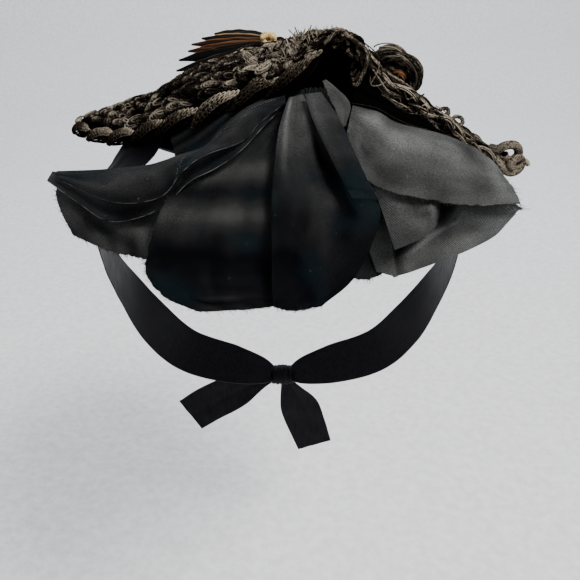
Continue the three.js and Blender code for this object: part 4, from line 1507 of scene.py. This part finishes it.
@dataclass(frozen=True)
class Cut:
    """A cloth panel as it is cut and laid.

    facing is the side that its folds stand out to, along and across its numbers of cells, tones its painted
    light and shade from root to end, stitches its lines of hemstitch, fringe the length of its fray, soft how
    much it crumples, held how it is held, and wall its thickness.
    """

    node: str
    facing: Triple
    rows: tuple[Row, ...]
    folds: tuple[Fold, ...] = ()
    raw: tuple[Edge, ...] = ()
    rolled: tuple[Edge, ...] = ()
    along: int = 56
    across: int = 30
    tones: tuple[float, ...] = (0.45,)
    stitches: tuple[tuple[tuple[float, float], tuple[float, float]], ...] = ()
    fringe: float = 0.8
    soft: float = 1.0
    held: str = "gathered"
    wall: float = 0.5


# The way that most panels of the bow face: to the back of the wearer, and a little up.
TO_BACK = (0.0, -1.0, 0.25)

BOW = (
    Cut("bow_left_loop", (-0.1, -1, 0.5), (
        Row((3, -67.2, -4.9), (3.1, -68, -7.1)),
        Row((-8.4, -73, -7.7), (-4, -77, -10.9), 0.8),
        Row((-15.8, -77, -13), (-9.5, -82, -15.8), 1.2),
        Row((-20.9, -79, -18), (-20.5, -87, -19), 0.8),
        Row((-29.9, -78, -21.3), (-27.1, -87, -23.6), 1),
        Row((-38.8, -76, -24.4), (-34, -86.5, -31.2), 1.4),
        Row((-55.4, -73, -26.8), (-48, -83.5, -34.2), 1.6),
        Row((-69.8, -70, -28.2), (-66.7, -74.6, -30.2), 0.4),
    ), (
        Fold((0.19, 0.4), (0.32, 0.57), 2.5, 0.8),
        Fold((0.45, 0.25), (0.54, 1.0), 2, -0.6),
        Fold((0.72, 0.34), (0.95, 0.78), 3.5, 0.8),
        Fold((0.65, 0.96), (0.88, 0.9), 2, -0.5),
    ), rolled=(Edge.B,), raw=(Edge.END,), tones=(0.28, 0.32, 0.42, 0.34),
        stitches=(((0.03, 0.16), (0.3, 0.14)), ((0.3, 0.14), (0.52, 0.2)), ((0.52, 0.2), (0.6, 0.9)))),
    Cut("bow_left_fold", TO_BACK, (
        Row((1.8, -65.6, -7.2), (1.6, -66.4, -9.2)),
        Row((-4.5, -71.5, -11.5), (-4, -76.6, -13.2)),
        Row((-12.2, -75.6, -13.6), (-10.4, -82.6, -18.8)),
        Row((-19.8, -76.2, -18.4), (-17.6, -85.4, -23.2)),
        Row((-27.4, -75.2, -22), (-25.2, -85.6, -27)),
        Row((-34.6, -75.5, -29.5), (-33, -85, -34.2)),
        Row((-43, -74, -32.4), (-41.2, -84, -38.6), 0.5),
        Row((-54, -71.5, -33.2), (-52, -82, -40.6), 0.8),
        Row((-64, -69, -31), (-62.4, -78, -35.6), 0.5),
        Row((-72.4, -67.6, -28.8), (-72.6, -73, -30.2)),
    ), rolled=(Edge.B,), across=20, tones=(0.4, 0.32, 0.28, 0.4)),
    Cut("bow_left_tail", TO_BACK, (
        Row((-71.6, -68, -34), (-34.7, -70.5, -35), 0.8),
        Row((-71, -70.5, -37), (-34.2, -78, -40), 2),
        Row((-68.6, -74, -42), (-35.4, -83, -46), 1.5),
        Row((-65.6, -76, -47.6), (-37.6, -86, -52), 0.8),
    ), (
        Fold((0.21, 0.02), (0.84, 0.36), 3, 0.8),
        Fold((0.7, 0.28), (0.88, 0.7), 3, -0.8),
        Fold((0.52, 0.68), (0.88, 0.91), 3, 0.7),
    ), raw=(Edge.END, Edge.A), across=48, along=30, tones=(0.5, 0.62, 0.54)),
    Cut("bow_centre_left", TO_BACK, (
        Row((-0.4, -65.4, -10.5), (7.4, -65.2, -10)),
        Row((-21.5, -77.5, -23.6), (3.6, -81.4, -20), 0.3),
        Row((-30.6, -84.4, -30.2), (4.4, -89.5, -31.6), 0.8),
        Row((-36.2, -93, -41.4), (5.0, -95.4, -44.6), 1.4),
        Row((-38.2, -97, -51.6), (5.0, -99.6, -55), 1),
        Row((-32.4, -99, -59), (4.8, -101, -58.2), 0.8),
        Row((-22.6, -101, -62.6), (4.4, -101.8, -59.2), 0.4),
    ), (
        Fold((0.26, 0), (0.21, 0.79), 3.2, 1.1),
        Fold((0.34, 0), (0.31, 0.85), 2.6, -1.0),
        Fold((0.42, 0.02), (0.4, 0.8), 3.2, 1.1),
        Fold((0.6, 0.1), (0.57, 0.91), 4, -1.5),
        Fold((0.84, 0.29), (0.79, 0.94), 2.2, 0.9),
        Fold((0.05, 0.16), (0.15, 0), 2, 0.8),
    ), raw=(Edge.A, Edge.END), across=48, tones=(0.42, 0.5, 0.43, 0.2, 0.12, 0.3)),
    Cut("bow_centre_right", TO_BACK, (
        Row((4.2, -66.6, -5.9), (8.7, -65.4, -4.9)),
        Row((1.4, -80, -13), (12.6, -78.2, -10.6), 0.8),
        Row((0.3, -88, -20.9), (16.9, -86, -20.5), 1.2),
        Row((-0.6, -94, -30.2), (30.5, -93, -32), 1.6),
        Row((-0.6, -100, -41.7), (28.3, -97.4, -42.9), 1.4),
        Row((-0.6, -104, -54.1), (22.8, -101, -52.3), 0.8),
        Row((0, -106, -58.7), (14.1, -103.4, -59.5), 0.4),
    ), (
        Fold((0.04, 0.16), (0.45, 0.12), 2.4, 1.2),
        Fold((0.29, 0.84), (0.64, 0.71), 3, -1.2),
        Fold((0.41, 0.32), (0.88, 0.68), 5, 1.1),
        Fold((0.49, 0.59), (0.62, 0.85), 3, 0.8),
        Fold((0.74, 0.14), (0.95, 0.62), 4, -1.0),
    ), raw=(Edge.END,), across=40, tones=(0.68, 0.66, 0.3, 0.16, 0.06, 0.06)),
    Cut("bow_strap", TO_BACK, (
        Row((9.2, -70.6, -4.2), (14, -70.4, -3.6)),
        Row((11.4, -81.4, -9.9), (18.7, -80.4, -9.2), 0.6),
        Row((15.5, -90.6, -17.2), (22.4, -89.8, -16), 0.8),
        Row((19.5, -97.4, -24), (26, -96.8, -22.9), 0.6),
        Row((21.9, -100.6, -27.7), (29.3, -100, -28.3), 0.2),
    ), (
        Fold((0.06, 0.18), (0.79, 0.1), 1.5, 0.5),
        Fold((0.85, 0), (0.95, 0.95), 1.2, -0.5),
    ), rolled=(Edge.B,), along=40, across=14, tones=(0.58, 0.44, 0.28, 0.2)),
    Cut("bow_facet", (0.3, -1, 0.4), (
        Row((14.6, -66.4, -0.9), (15.6, -66, -0.5)),
        Row((17.5, -74, -6.4), (22.6, -70.6, -6.3), 0.3),
        Row((20, -81.4, -11.6), (21.2, -80.6, -11.6)),
    ), (
        Fold((0.26, 0.57), (0.98, 0.66), 1.5, -0.4),
    ), rolled=(Edge.A,), along=24, across=12, tones=(0.74, 0.7)),
    Cut("bow_right_panel", (0.2, -1, 0.6), (
        Row((23.7, -70.8, -7.5), (21.4, -80.6, -13.6)),
        Row((30.8, -70, -9.4), (23.8, -87.6, -19.6), 1.2),
        Row((38.6, -71, -12.9), (28.4, -94, -25.4), 2),
        Row((51.5, -70, -16.2), (48.6, -91.4, -31.4), 2),
        Row((63.3, -69, -20.8), (61.4, -88, -33.6), 1.4),
        Row((68.9, -70, -25), (74.8, -83, -34.5), 0.4),
    ), (
        Fold((0.14, 0.28), (0.75, 0.38), 5, 1.0),
        Fold((0.24, 0.76), (0.6, 0.85), 4, -0.7),
        Fold((0.76, 0.1), (0.86, 0.74), 3, -0.6),
        Fold((0.92, 0.19), (0.94, 0.92), 2.5, 0.5),
    ), raw=(Edge.B, Edge.END), across=36, tones=(0.72, 0.72, 0.74, 0.82)),
    Cut("bow_right_loop", TO_BACK, (
        Row((27.8, -90.6, -24.4), (35.6, -95.6, -45), 0.6),
        Row((40, -90.4, -29.6), (43.3, -93.4, -42.2), 1),
        Row((49.6, -88.2, -33.2), (48.7, -89.6, -39.2), 0.4),
    ), (
        Fold((0.1, 0.2), (0.79, 0.98), 3.5, 0.7),
        Fold((0.84, 0.1), (0.84, 0.8), 1.6, 0.7),
        Fold((0.97, 0.05), (0.98, 0.95), 1.0, -0.6),
    ), along=36, tones=(0.66, 0.68, 0.66)),
    Cut("bow_right_tail", TO_BACK, (
        Row((32, -85.4, -32.4), (36.6, -91.4, -55.8), 0.4),
        Row((44.5, -81, -34), (46.8, -88, -53.6), 0.8),
        Row((57.3, -79, -33.8), (58.4, -85, -50.1), 0.8),
        Row((69.6, -79.4, -33.4), (69.2, -81.4, -45.8), 0.6),
        Row((74.6, -82.8, -35.4), (74.9, -79.6, -39.6)),
    ), (
        Fold((0.56, 0.25), (0.8, 0.72), 2.5, 0.8),
        Fold((0.07, 0.66), (0.34, 0.36), 1.2, -1.3),
        Fold((0.44, 0.0), (0.4, 0.32), 2.6, -2.8),
        Fold((0.13, 0.74), (0.45, 0.4), 1.1, 0.9),
        Fold((0.45, 0.4), (0.54, 0.04), 1.2, 1.1),
        Fold((0.04, 0.52), (0.04, 1.0), 1.4, -1.0),
    ), raw=(Edge.END,), along=60, across=36, tones=(0.82, 0.8, 0.92, 0.96), fringe=1.3),
    Cut("bow_side_strip", TO_BACK, (
        Row((23.6, -85.4, -25.4), (33.4, -85.8, -26)),
        Row((26, -88.2, -37.6), (34, -89, -38.6), 0.2),
        Row((28.4, -90, -46), (35.6, -91, -46.8), 0.4),
        Row((31.2, -91.6, -53.6), (37.4, -92.8, -55), 0.2),
    ), along=24, across=8, tones=(0.25, 0.7, 0.8)),
    Cut("bow_net", TO_BACK, (
        Row((27.6, -87.4, -42.6), (31.6, -88, -44)),
        Row((26.2, -89.4, -49.6), (32.4, -89.8, -50.4)),
        Row((23.6, -91.8, -55.6), (33, -91, -54.4)),
    ), raw=(Edge.END,), along=20, across=12, tones=(0.3, 0.4)),
)


@dataclass
class ClothPanels:
    """Makes cloth panels with folds, raw frayed edges and rolled edges."""

    wardrobe: Wardrobe
    finish: Finish
    rests_on: str
    cuts: tuple[Cut, ...] = ()
    seed: int = 40
    waves: int = 14
    wave_height: float = 0.0055
    thread_gap: float = 0.11
    thread_radius: float = 0.075
    thread_points: int = 4
    roll_radius: float = 0.17
    stitch_gap: float = 1.0
    stitch_radius: float = 0.14
    stitch_tone: float = 1.3
    least_flat: float = 0.011
    least_filled: float = 0.31

    def grid(self, cut: Cut) -> tuple[Array, Array]:
        """Works out the middle of a panel.

        Args:
            cut: The panel.

        Returns:
            Points, as rows along the panel by points across it, and their tones.
        """
        u = np.linspace(0, 1, cut.along + 1)
        v = np.linspace(0, 1, cut.across + 1)
        first = catmull(np.array([row.a for row in cut.rows], float), u)
        second = catmull(np.array([row.b for row in cut.rows], float), u)
        belly = catmull(np.array([[i, row.belly, 0] for i, row in enumerate(cut.rows)], float), u)[:, 1]
        out = unit(np.array(cut.facing, float))
        grid = first[:, None] * (1 - v)[None, :, None] + second[:, None] * v[None, :, None]
        grid = grid + (4 * belly[:, None] * (v * (1 - v))[None])[..., None] * out
        length = float(np.linalg.norm(np.diff(grid[:, cut.across // 2], axis=0), axis=-1).sum())
        width = float(np.linalg.norm(grid[:, -1] - grid[:, 0], axis=-1).max())
        total = np.zeros(grid.shape[:2])
        for fold in cut.folds:
            total = total + self.rise(fold, u, v, length, width)
        total = total + self.crumple(cut, u * length, v * width)
        grid = grid + total[..., None] * out
        # Painted light and shade: the tone runs through the cut's tones from root to end, as the panel lies
        # lit or shaded, and is lighter on ridges and darker in hollows of its folds and crumples.
        painted_light_along = np.interp(u, np.linspace(0, 1, len(cut.tones)), cut.tones)
        tone = painted_light_along[:, None] + np.where(total > 0, 0.2, 0.3) * np.clip(total, -3, 1.5)
        return self.serrate(grid, cut), tone

    def crumple(self, cut: Cut, along: Array, across: Array) -> Array:
        """Works out the small irregular waves that lie over the whole panel.

        Args:
            cut: The panel.
            along: Lengths along it.
            across: Lengths across it.

        Returns:
            How far each point stands out.
        """
        rng = np.random.default_rng(self.seed + sum(map(ord, cut.node)))
        total = np.zeros((len(along), len(across)))
        for _ in range(self.waves):
            wave = rng.uniform(5, 17)
            way = rng.uniform(0, np.pi)
            phase = 2 * np.pi * (along[:, None] * np.cos(way) + across[None] * np.sin(way)) / wave
            bend = 1.2 * np.sin(phase[::-1] * 0.37 + rng.uniform(0, 6))
            total = total + self.wave_height * wave * cut.soft * np.sin(phase + bend + rng.uniform(0, 6))
        return total

    def serrate(self, grid: Array, cut: Cut) -> Array:
        """Makes a panel's raw edges uneven, as loosely woven silk frays.

        Args:
            grid: Points of its middle.
            cut: The panel.

        Returns:
            The points with their edges moved.
        """
        rng = np.random.default_rng(self.seed)
        grid = grid.copy()
        picks = {Edge.A: (slice(None), 0), Edge.B: (slice(None), -1), Edge.ROOT: 0, Edge.END: -1}
        for edge in cut.raw:
            _, out = self.border(grid, edge)
            sag = 1.3 * np.sin(np.pi * np.linspace(0, 1, len(out))) if edge is Edge.END else 0
            bite = rng.normal(0.1, 0.16, len(out)) + sag
            grid[picks[edge]] = grid[picks[edge]] + out * bite[:, None]
        return grid

    def rise(self, fold: Fold, u: Array, v: Array, length: float, width: float) -> Array:
        """Works out how far one fold moves the cloth at each point.

        Args:
            fold: The fold.
            u: Shares along the panel.
            v: Shares across it.
            length: The panel's length.
            width: Its width.

        Returns:
            How far each point stands out.
        """
        start = np.array([fold.start[0] * length, fold.start[1] * width])
        way = np.array([fold.end[0] * length, fold.end[1] * width]) - start
        place = np.stack(np.meshgrid(u * length, v * width, indexing="ij"), -1)
        share = np.clip(((place - start) @ way) / max(way @ way, 1e-6), 0, 1)
        distance = np.linalg.norm(place - start - share[..., None] * way, axis=-1)
        return fold.depth * (1 - 0.45 * share ** 2) * np.exp(-(distance / fold.width) ** 2)

    def border(self, grid: Array, edge: Edge) -> tuple[Array, Array]:
        """Gives an edge's points and the direction that leads out of the cloth there.

        Args:
            grid: Points of the panel's middle.
            edge: The edge.

        Returns:
            The points and the directions.
        """
        lines = {
            Edge.A: (grid[:, 0], grid[:, 1]),
            Edge.B: (grid[:, -1], grid[:, -2]),
            Edge.ROOT: (grid[0], grid[1]),
            Edge.END: (grid[-1], grid[-2]),
        }
        line, inside = lines[edge]
        return line, unit(line - inside)

    def fray(self, body: Body, grid: Array, cut: Cut, rng: np.random.Generator) -> None:
        """Adds loose threads along a panel's raw edges.

        Args:
            body: The body that takes them.
            grid: Points of the panel's middle.
            cut: The panel.
            rng: Random numbers.
        """
        points = self.thread_points
        for edge in cut.raw:
            line, out = self.border(grid, edge)
            steps = np.linalg.norm(np.diff(line, axis=0), axis=-1)
            travel = np.concatenate([[0], np.cumsum(steps)])
            count = int(travel[-1] / self.thread_gap)
            places = np.sort(rng.uniform(0, travel[-1], count))
            start = np.stack([np.interp(places, travel, line[:, i]) for i in range(3)], -1)
            away = np.stack([np.interp(places, travel, out[:, i]) for i in range(3)], -1)
            length = cut.fringe * rng.gamma(2.2, 0.4, count)
            wander = rng.normal(0, 0.33, (count, 3))
            curl = rng.normal(0, 0.25, (count, 3))
            t = np.linspace(0, 1, points)[None, :, None]
            paths = start[:, None] + length[:, None, None] * (
                t * unit(away + wander)[:, None] + t * t * curl[:, None]) - away[:, None] * 0.3
            radii = self.thread_radius * (1 - 0.6 * np.linspace(0, 1, points))[None].repeat(count, 0)
            body.strands(paths, radii, UP, 0.5 + rng.normal(0, 0.2, count), 3)

    def roll(self, body: Body, grid: Array, cut: Cut) -> None:
        """Adds the narrow roll along a panel's turned edges.

        Args:
            body: The body that takes it.
            grid: Points of the panel's middle.
            cut: The panel.
        """
        for edge in cut.rolled:
            line, _ = self.border(grid, edge)
            # The roll is painted lighter than the cloth, varying at random along it, as a highlight along the
            # turned edge.
            tone = np.random.default_rng(self.seed).normal(0.8, 0.3, (1, len(line)))
            body.strands(line[None], np.full((1, len(line)), self.roll_radius), OVER_HEM, tone, 7)

    def stitch(self, body: Body, grid: Array, cut: Cut) -> None:
        """Adds a line of short hemstitches along each of a panel's stitch lines.

        Args:
            body: The body that takes them.
            grid: Points of the panel's middle.
            cut: The panel.
        """
        rows, columns = grid.shape[0] - 1, grid.shape[1] - 1
        for start, end in cut.stitches:
            share = np.linspace(0, 1, 200)[:, None]
            place = np.array(start) * (1 - share) + np.array(end) * share
            i = np.round(place[:, 0] * rows).astype(int)
            j = np.round(place[:, 1] * columns).astype(int)
            line = grid[i, j] + unit(np.array(cut.facing, float)) * (cut.wall / 2 + 0.05)
            keep = np.concatenate([[True], np.linalg.norm(np.diff(line, axis=0), axis=-1) > 1e-6])
            line = line[keep]
            travel = np.concatenate([[0], np.cumsum(np.linalg.norm(np.diff(line, axis=0), axis=-1))])
            places = np.arange(0.4, travel[-1] - 0.6, self.stitch_gap)[:, None] + np.array([0, 0.22, 0.45])
            paths = np.stack([np.interp(places, travel, line[:, axis]) for axis in range(3)], -1)
            radii = np.full(places.shape, self.stitch_radius)
            body.strands(paths, radii, OVER_HEM, np.full(len(places), self.stitch_tone), 4)

    def panel(self, cut: Cut) -> None:
        """Args:
            cut: The panel.
        """
        rng = np.random.default_rng(self.seed + len(cut.node))
        grid, tone = self.grid(cut)
        body = Body()
        body.cloth(grid, cut.wall, tone)
        name = cut.node.replace("bow_", "silk_").replace("tie_", "ribbon_")
        piece = self.wardrobe.wear(body, name, self.finish, cut.node)
        trims = []
        if cut.raw or cut.rolled:
            trim = Body()
            self.fray(trim, grid, cut, rng)
            self.roll(trim, grid, cut)
            self.stitch(trim, grid, cut)
            trims.append(self.wardrobe.wear(trim, f"{piece.name}_edge", self.finish))
        self.declare(piece, grid, cut.held, trims)

    def declare(self, piece: bpy.types.Object, grid: Array, held: str, trims: list) -> None:
        """Logs a panel's flat size, measured over its own surface.

        Args:
            piece: The panel.
            grid: Points of its middle.
            held: How it is held; not used.
            trims: The pieces that belong to it; not used.
        """
        along = np.linalg.norm(np.diff(grid, axis=0), axis=-1).sum(0).max() * MM
        across = np.linalg.norm(np.diff(grid, axis=1), axis=-1).sum(1).max() * MM
        cells = np.cross(grid[1:, :-1] - grid[:-1, :-1], grid[:-1, 1:] - grid[:-1, :-1])
        area = float(np.linalg.norm(cells, axis=-1).sum()) * MM * MM
        flat = (max(float(across), self.least_flat), max(float(along), self.least_flat))
        area = min(max(area, self.least_filled * flat[0] * flat[1]), flat[0] * flat[1])
        log.info("%s: cut %.0f by %.0f mm", piece.name, flat[0] / MM, flat[1] / MM)

    def build(self) -> None:
        """Builds the panel of every cut."""
        for cut in self.cuts:
            self.panel(cut)


TIE_ROWS = (
    Row((-37.5, -47.5, -19.5), (-50, -36.5, -20.5), 0.0),
    Row((-42.6, -50.4, -27.4), (-57, -36, -27.6), 0.3),
    Row((-47.6, -52.4, -32.2), (-62.4, -33, -34.6), 0.8),
    Row((-55.6, -51, -42.5), (-70.8, -27.4, -45), 1.2),
    Row((-69.6, -37, -60), (-76.2, -13, -61), 0.4),
    Row((-76.2, -14, -85), (-76.6, 10, -88), 0.2),
    Row((-75.6, 4, -112), (-74, 27, -106), 0.2),
    Row((-69, 14, -138), (-63, 37, -128), 0.4),
    Row((-55, 27, -163), (-49, 49, -151), 0.6),
    Row((-31, 42, -181), (-26, 63, -169), 0.6),
    Row((-10.4, 52, -188), (-9.6, 66, -180)),
    Row((-4.2, 57, -188.6), (-4.2, 63.6, -184.2)),
)
TIE_FOLDS = (
    Fold((0.0, 0.7), (0.3, 0.8), 1.4, 0.7),
    Fold((0.85, 0.3), (1.0, 0.5), 1.2, 0.7),
    Fold((0.8, 0.7), (1.0, 0.55), 1.2, -0.6),
)


def mirrored(rows: tuple[Row, ...]) -> tuple[Row, ...]:
    """Gives the rows of the piece on the other side.

    Args:
        rows: The rows of one side's piece.

    Returns:
        The rows with left and right changed over.
    """
    return tuple(Row((-row.a[0], *row.a[1:]), (-row.b[0], *row.b[1:]), row.belly) for row in rows)


TIES = (
    Cut("tie_left", (-1, -0.6, 0), TIE_ROWS, TIE_FOLDS,
        along=110, across=14, held="stretched", soft=0.25),
    Cut("tie_right", (1, -0.6, 0), mirrored(TIE_ROWS), TIE_FOLDS,
        along=110, across=14, held="stretched", soft=0.25),
    Cut("tie_end_left", (0, 1, 0), (
        Row((-2, 58.5, -190), (-4, 60, -186)),
        Row((-8.6, 60.8, -195), (-11.6, 62.6, -187.8), 0.6),
        Row((-24, 62, -211), (-30, 64, -190), 1.5),
        Row((-40, 65, -223), (-50, 66, -200), 1),
        Row((-52, 66, -231.5), (-65, 66, -210.5)),
    ), (Fold((0, 0.5), (0.8, 0.4), 2, 1.0),), along=40, across=18, held="hung"),
    Cut("tie_end_right", (0, 1, 0), (
        Row((-0.6, 59, -189), (3.6, 60, -188.6)),
        Row((-0.8, 61, -196), (8.4, 61.6, -194.6), 0.6),
        Row((-1, 62, -214), (21, 64, -208), 1.5),
        Row((4, 65, -232), (27, 66, -226), 1),
        Row((10, 66, -248), (31, 66, -241)),
    ), (Fold((0, 0.5), (0.8, 0.6), 2, 1.0),), along=40, across=18, held="hung"),
)


@dataclass
class Lining:
    """The dark silk that hangs from the brim's underside behind the bow."""

    edge: RolledEdge
    panels: ClothPanels
    left_span: tuple[float, float] = (233, 268)
    right_span: tuple[float, float] = (289, 331)
    thread_radius: float = 0.09
    left: tuple[Triple, ...] = (
        (-33.5, -59.5, -26.5), (-24.4, -62.5, -23.5), (-16, -63.5, -17.5), (-7.9, -64, -11.5),
        (1.5, -62, -8.5))
    right: tuple[Triple, ...] = (
        (23.7, -65, -9.5), (30.9, -66, -11), (38, -66, -14.5), (51.5, -65, -18.5), (63.3, -61, -23.5))
    thread: tuple[Triple, ...] = (
        (22.5, -70.5, -6.6), (23.7, -71.4, -6.6), (30.9, -71, -8.0), (37.3, -71.6, -11.2),
        (42.1, -71.6, -13.2), (47.5, -71, -14.6))

    def side(self, name: str, span: tuple[float, float], hem: tuple[Triple, ...], finish: Finish,
             material: bpy.types.Material, tone: float) -> None:
        """Builds one side, from the brim's lower lip down to its hem.

        Args:
            name: The piece's name.
            span: Directions where it starts and ends.
            hem: Its hem.
            finish: The slot that it stands for.
            material: Its material.
            tone: Its middle tone.
        """
        share = np.linspace(0, 1, 60)
        start, end = span
        top = self.edge.point(start + (end - start) * share, np.zeros(60), np.full(60, -0.8))[0]
        low = catmull(np.array(hem, float), share)
        v = np.linspace(0, 1, 14)[None, :, None]
        grid = top[:, None] * (1 - v) + low[:, None] * v
        wave = 0.6 * np.sin(9 * v[..., 0] * 2 + 14 * share[:, None]) * np.sin(np.pi * v[..., 0])
        grid = grid + wave[..., None] * np.array([0, -1, 0.3])
        body = Body()
        # Wave crests are painted lighter and troughs darker, as light and shade.
        body.cloth(grid, 0.6, tone + 0.2 * wave)
        piece = body.make(name, material)
        self.panels.wardrobe.dress(piece, finish)
        self.panels.declare(piece, grid, "gathered", [])

    def build(self) -> None:
        """Builds both sides and the light thread along the right one."""
        teal = self.panels.wardrobe.get(Finish.TEAL)
        self.side("lining_left", self.left_span, self.left, Finish.TEAL, teal, 0.34)
        # The right side wears the near-black underside silk: painted shade.
        self.side("lining_right", self.right_span, self.right, Finish.SILK, UNDERSIDE_SHADE.material(), 0.3)
        body = Body()
        path = catmull(np.array(self.thread, float), np.linspace(0, 1, 60))
        body.strands(path[None], np.full((1, 60), self.thread_radius), OVER_HEM, np.array([0.3]), 6)
        self.panels.wardrobe.wear(body, "lining_thread", Finish.CHAIN)


@dataclass(frozen=True)
class Lamp:
    """A soft square lamp: its place, target and side in metres, and its power in watts."""

    name: str
    place: Triple
    target: Triple
    size: float
    power: float
    colour: Triple

    def build(self) -> None:
        """Adds the lamp, turned to its target."""
        data = bpy.data.lights.new(self.name, "AREA")
        data.size = self.size
        data.energy = self.power
        data.color = self.colour
        lamp = bpy.data.objects.new(self.name, data)
        lamp.location = self.place
        lamp.rotation_euler = (Vector(self.target) - Vector(self.place)).to_track_quat("-Z", "Y").to_euler()
        bpy.context.scene.collection.objects.link(lamp)


@dataclass
class Stage:
    """The floor, the lights and the camera, in the part's frame."""

    floor_height: float = -0.335
    floor_profile: tuple[tuple[float, float], ...] = (
        (1, 0), (1300, 0), (1700, 40), (2050, 220), (2300, 600), (2400, 1500))
    camera_place: Triple = (-1.4, -278.8, 28.6)
    camera_pitch: float = 25.0
    view_angle: float = 48.1
    sky: Triple = (0.86, 0.9, 1.0)
    sky_strength: float = 0.22
    lamps: tuple[Lamp, ...] = (
        Lamp("key", (0.5, -0.52, 0.85), (0.02, -0.06, -0.02), 0.35, 20, (1.0, 0.98, 0.95)),
        Lamp("back", (0.1, 1.1, 1.3), (0, 0.9, -0.3), 1.2, 40, (0.95, 0.97, 1.0)),
        Lamp("fill", (-0.9, -0.5, 0.4), (0, 0, 0), 0.8, 2, (1.0, 0.95, 0.9)),
    )

    def camera(self) -> None:
        """Places the camera at the photograph's angle."""
        data = bpy.data.cameras.new("camera")
        data.angle = math.radians(self.view_angle)
        data.clip_start = 0.01
        camera = bpy.data.objects.new("camera", data)
        camera.location = Vector(self.camera_place) * MM
        camera.rotation_euler = (math.radians(90 - self.camera_pitch), 0, 0)
        bpy.context.scene.collection.objects.link(camera)
        bpy.context.scene.camera = camera

    def floor(self) -> None:
        """Lays a wide pale floor that curves up far away on every side."""
        body = Body()
        turn = np.linspace(0, 2 * np.pi, 97)
        profile = np.array(self.floor_profile, float)
        grid = np.zeros((len(profile), len(turn), 3))
        grid[..., 0] = profile[:, :1] * np.cos(turn)
        grid[..., 1] = profile[:, :1] * np.sin(turn)
        grid[..., 2] = profile[:, 1:] + self.floor_height / MM
        body.cloth(grid - SHIFT, 2.0)
        shader = Shader("pale_floor")
        nap = shader.noise(7, 3)
        colour = shader.ramp(nap, [(0.3, (0.66, 0.66, 0.67)), (0.7, (0.78, 0.78, 0.79))])
        normal = shader.bump(nap, 3.0, 0.5)
        floor = body.make("floor", shader.finish(colour, 0.9, normal, {"Specular IOR Level": 0.1}))

    def world(self) -> None:
        """Sets an even pale sky."""
        world = bpy.data.worlds.new("studio")
        bpy.context.scene.world = world
        world.use_nodes = True
        back = world.node_tree.nodes["Background"]
        back.inputs[0].default_value = (*self.sky, 1)
        back.inputs[1].default_value = self.sky_strength

    def build(self) -> None:
        """Builds the whole stage."""
        self.camera()
        self.floor()
        self.world()
        for lamp in self.lamps:
            lamp.build()


def dress_cad(wardrobe: Wardrobe) -> None:
    """Gives every CAD node the finish of its record slot, and the frame a darker silk as painted shade.

    Args:
        wardrobe: The finishes.
    """
    slots = {row["node"]: row["material_slot"] for row in frame["record"]["subparts"]}
    for name, node in frame["nodes"].items():
        node.data.materials.clear()
        node.data.materials.append(wardrobe.get(Finish(slots[name])))
    # The frame's near-black silk is painted shade.
    frame["nodes"]["foundation"].data.materials[0] = UNDERSIDE_SHADE.material()


def main() -> None:
    """Builds the stage and each sub-assembly in order."""
    Stage().build()
    wardrobe = Wardrobe()
    dress_cad(wardrobe)
    brim = Brim(frame["nodes"]["foundation"])
    edge = RolledEdge(brim)
    assemblies = {
        "looped braid": LoopedBraid(brim, wardrobe),
        "chain edge": ChainEdge(edge, wardrobe),
        "swept edge": SweptEdge(edge, wardrobe),
        "curls": Curls(wardrobe),
        "rosette": Rosette(brim, wardrobe),
        "leaf fan": LeafFan(wardrobe),
        "bindings": Bindings(wardrobe),
        "bow": ClothPanels(wardrobe, Finish.SILK, "bow_gather", BOW),
        "lining": Lining(edge, ClothPanels(wardrobe, Finish.SILK, "foundation", seed=60)),
        "ties": ClothPanels(wardrobe, Finish.SATIN, "tie_knot", TIES, seed=90),
    }
    for name, assembly in assemblies.items():
        assembly.build()
        log.info("the %s: built", name)


if __name__ == "__main__":
    main()
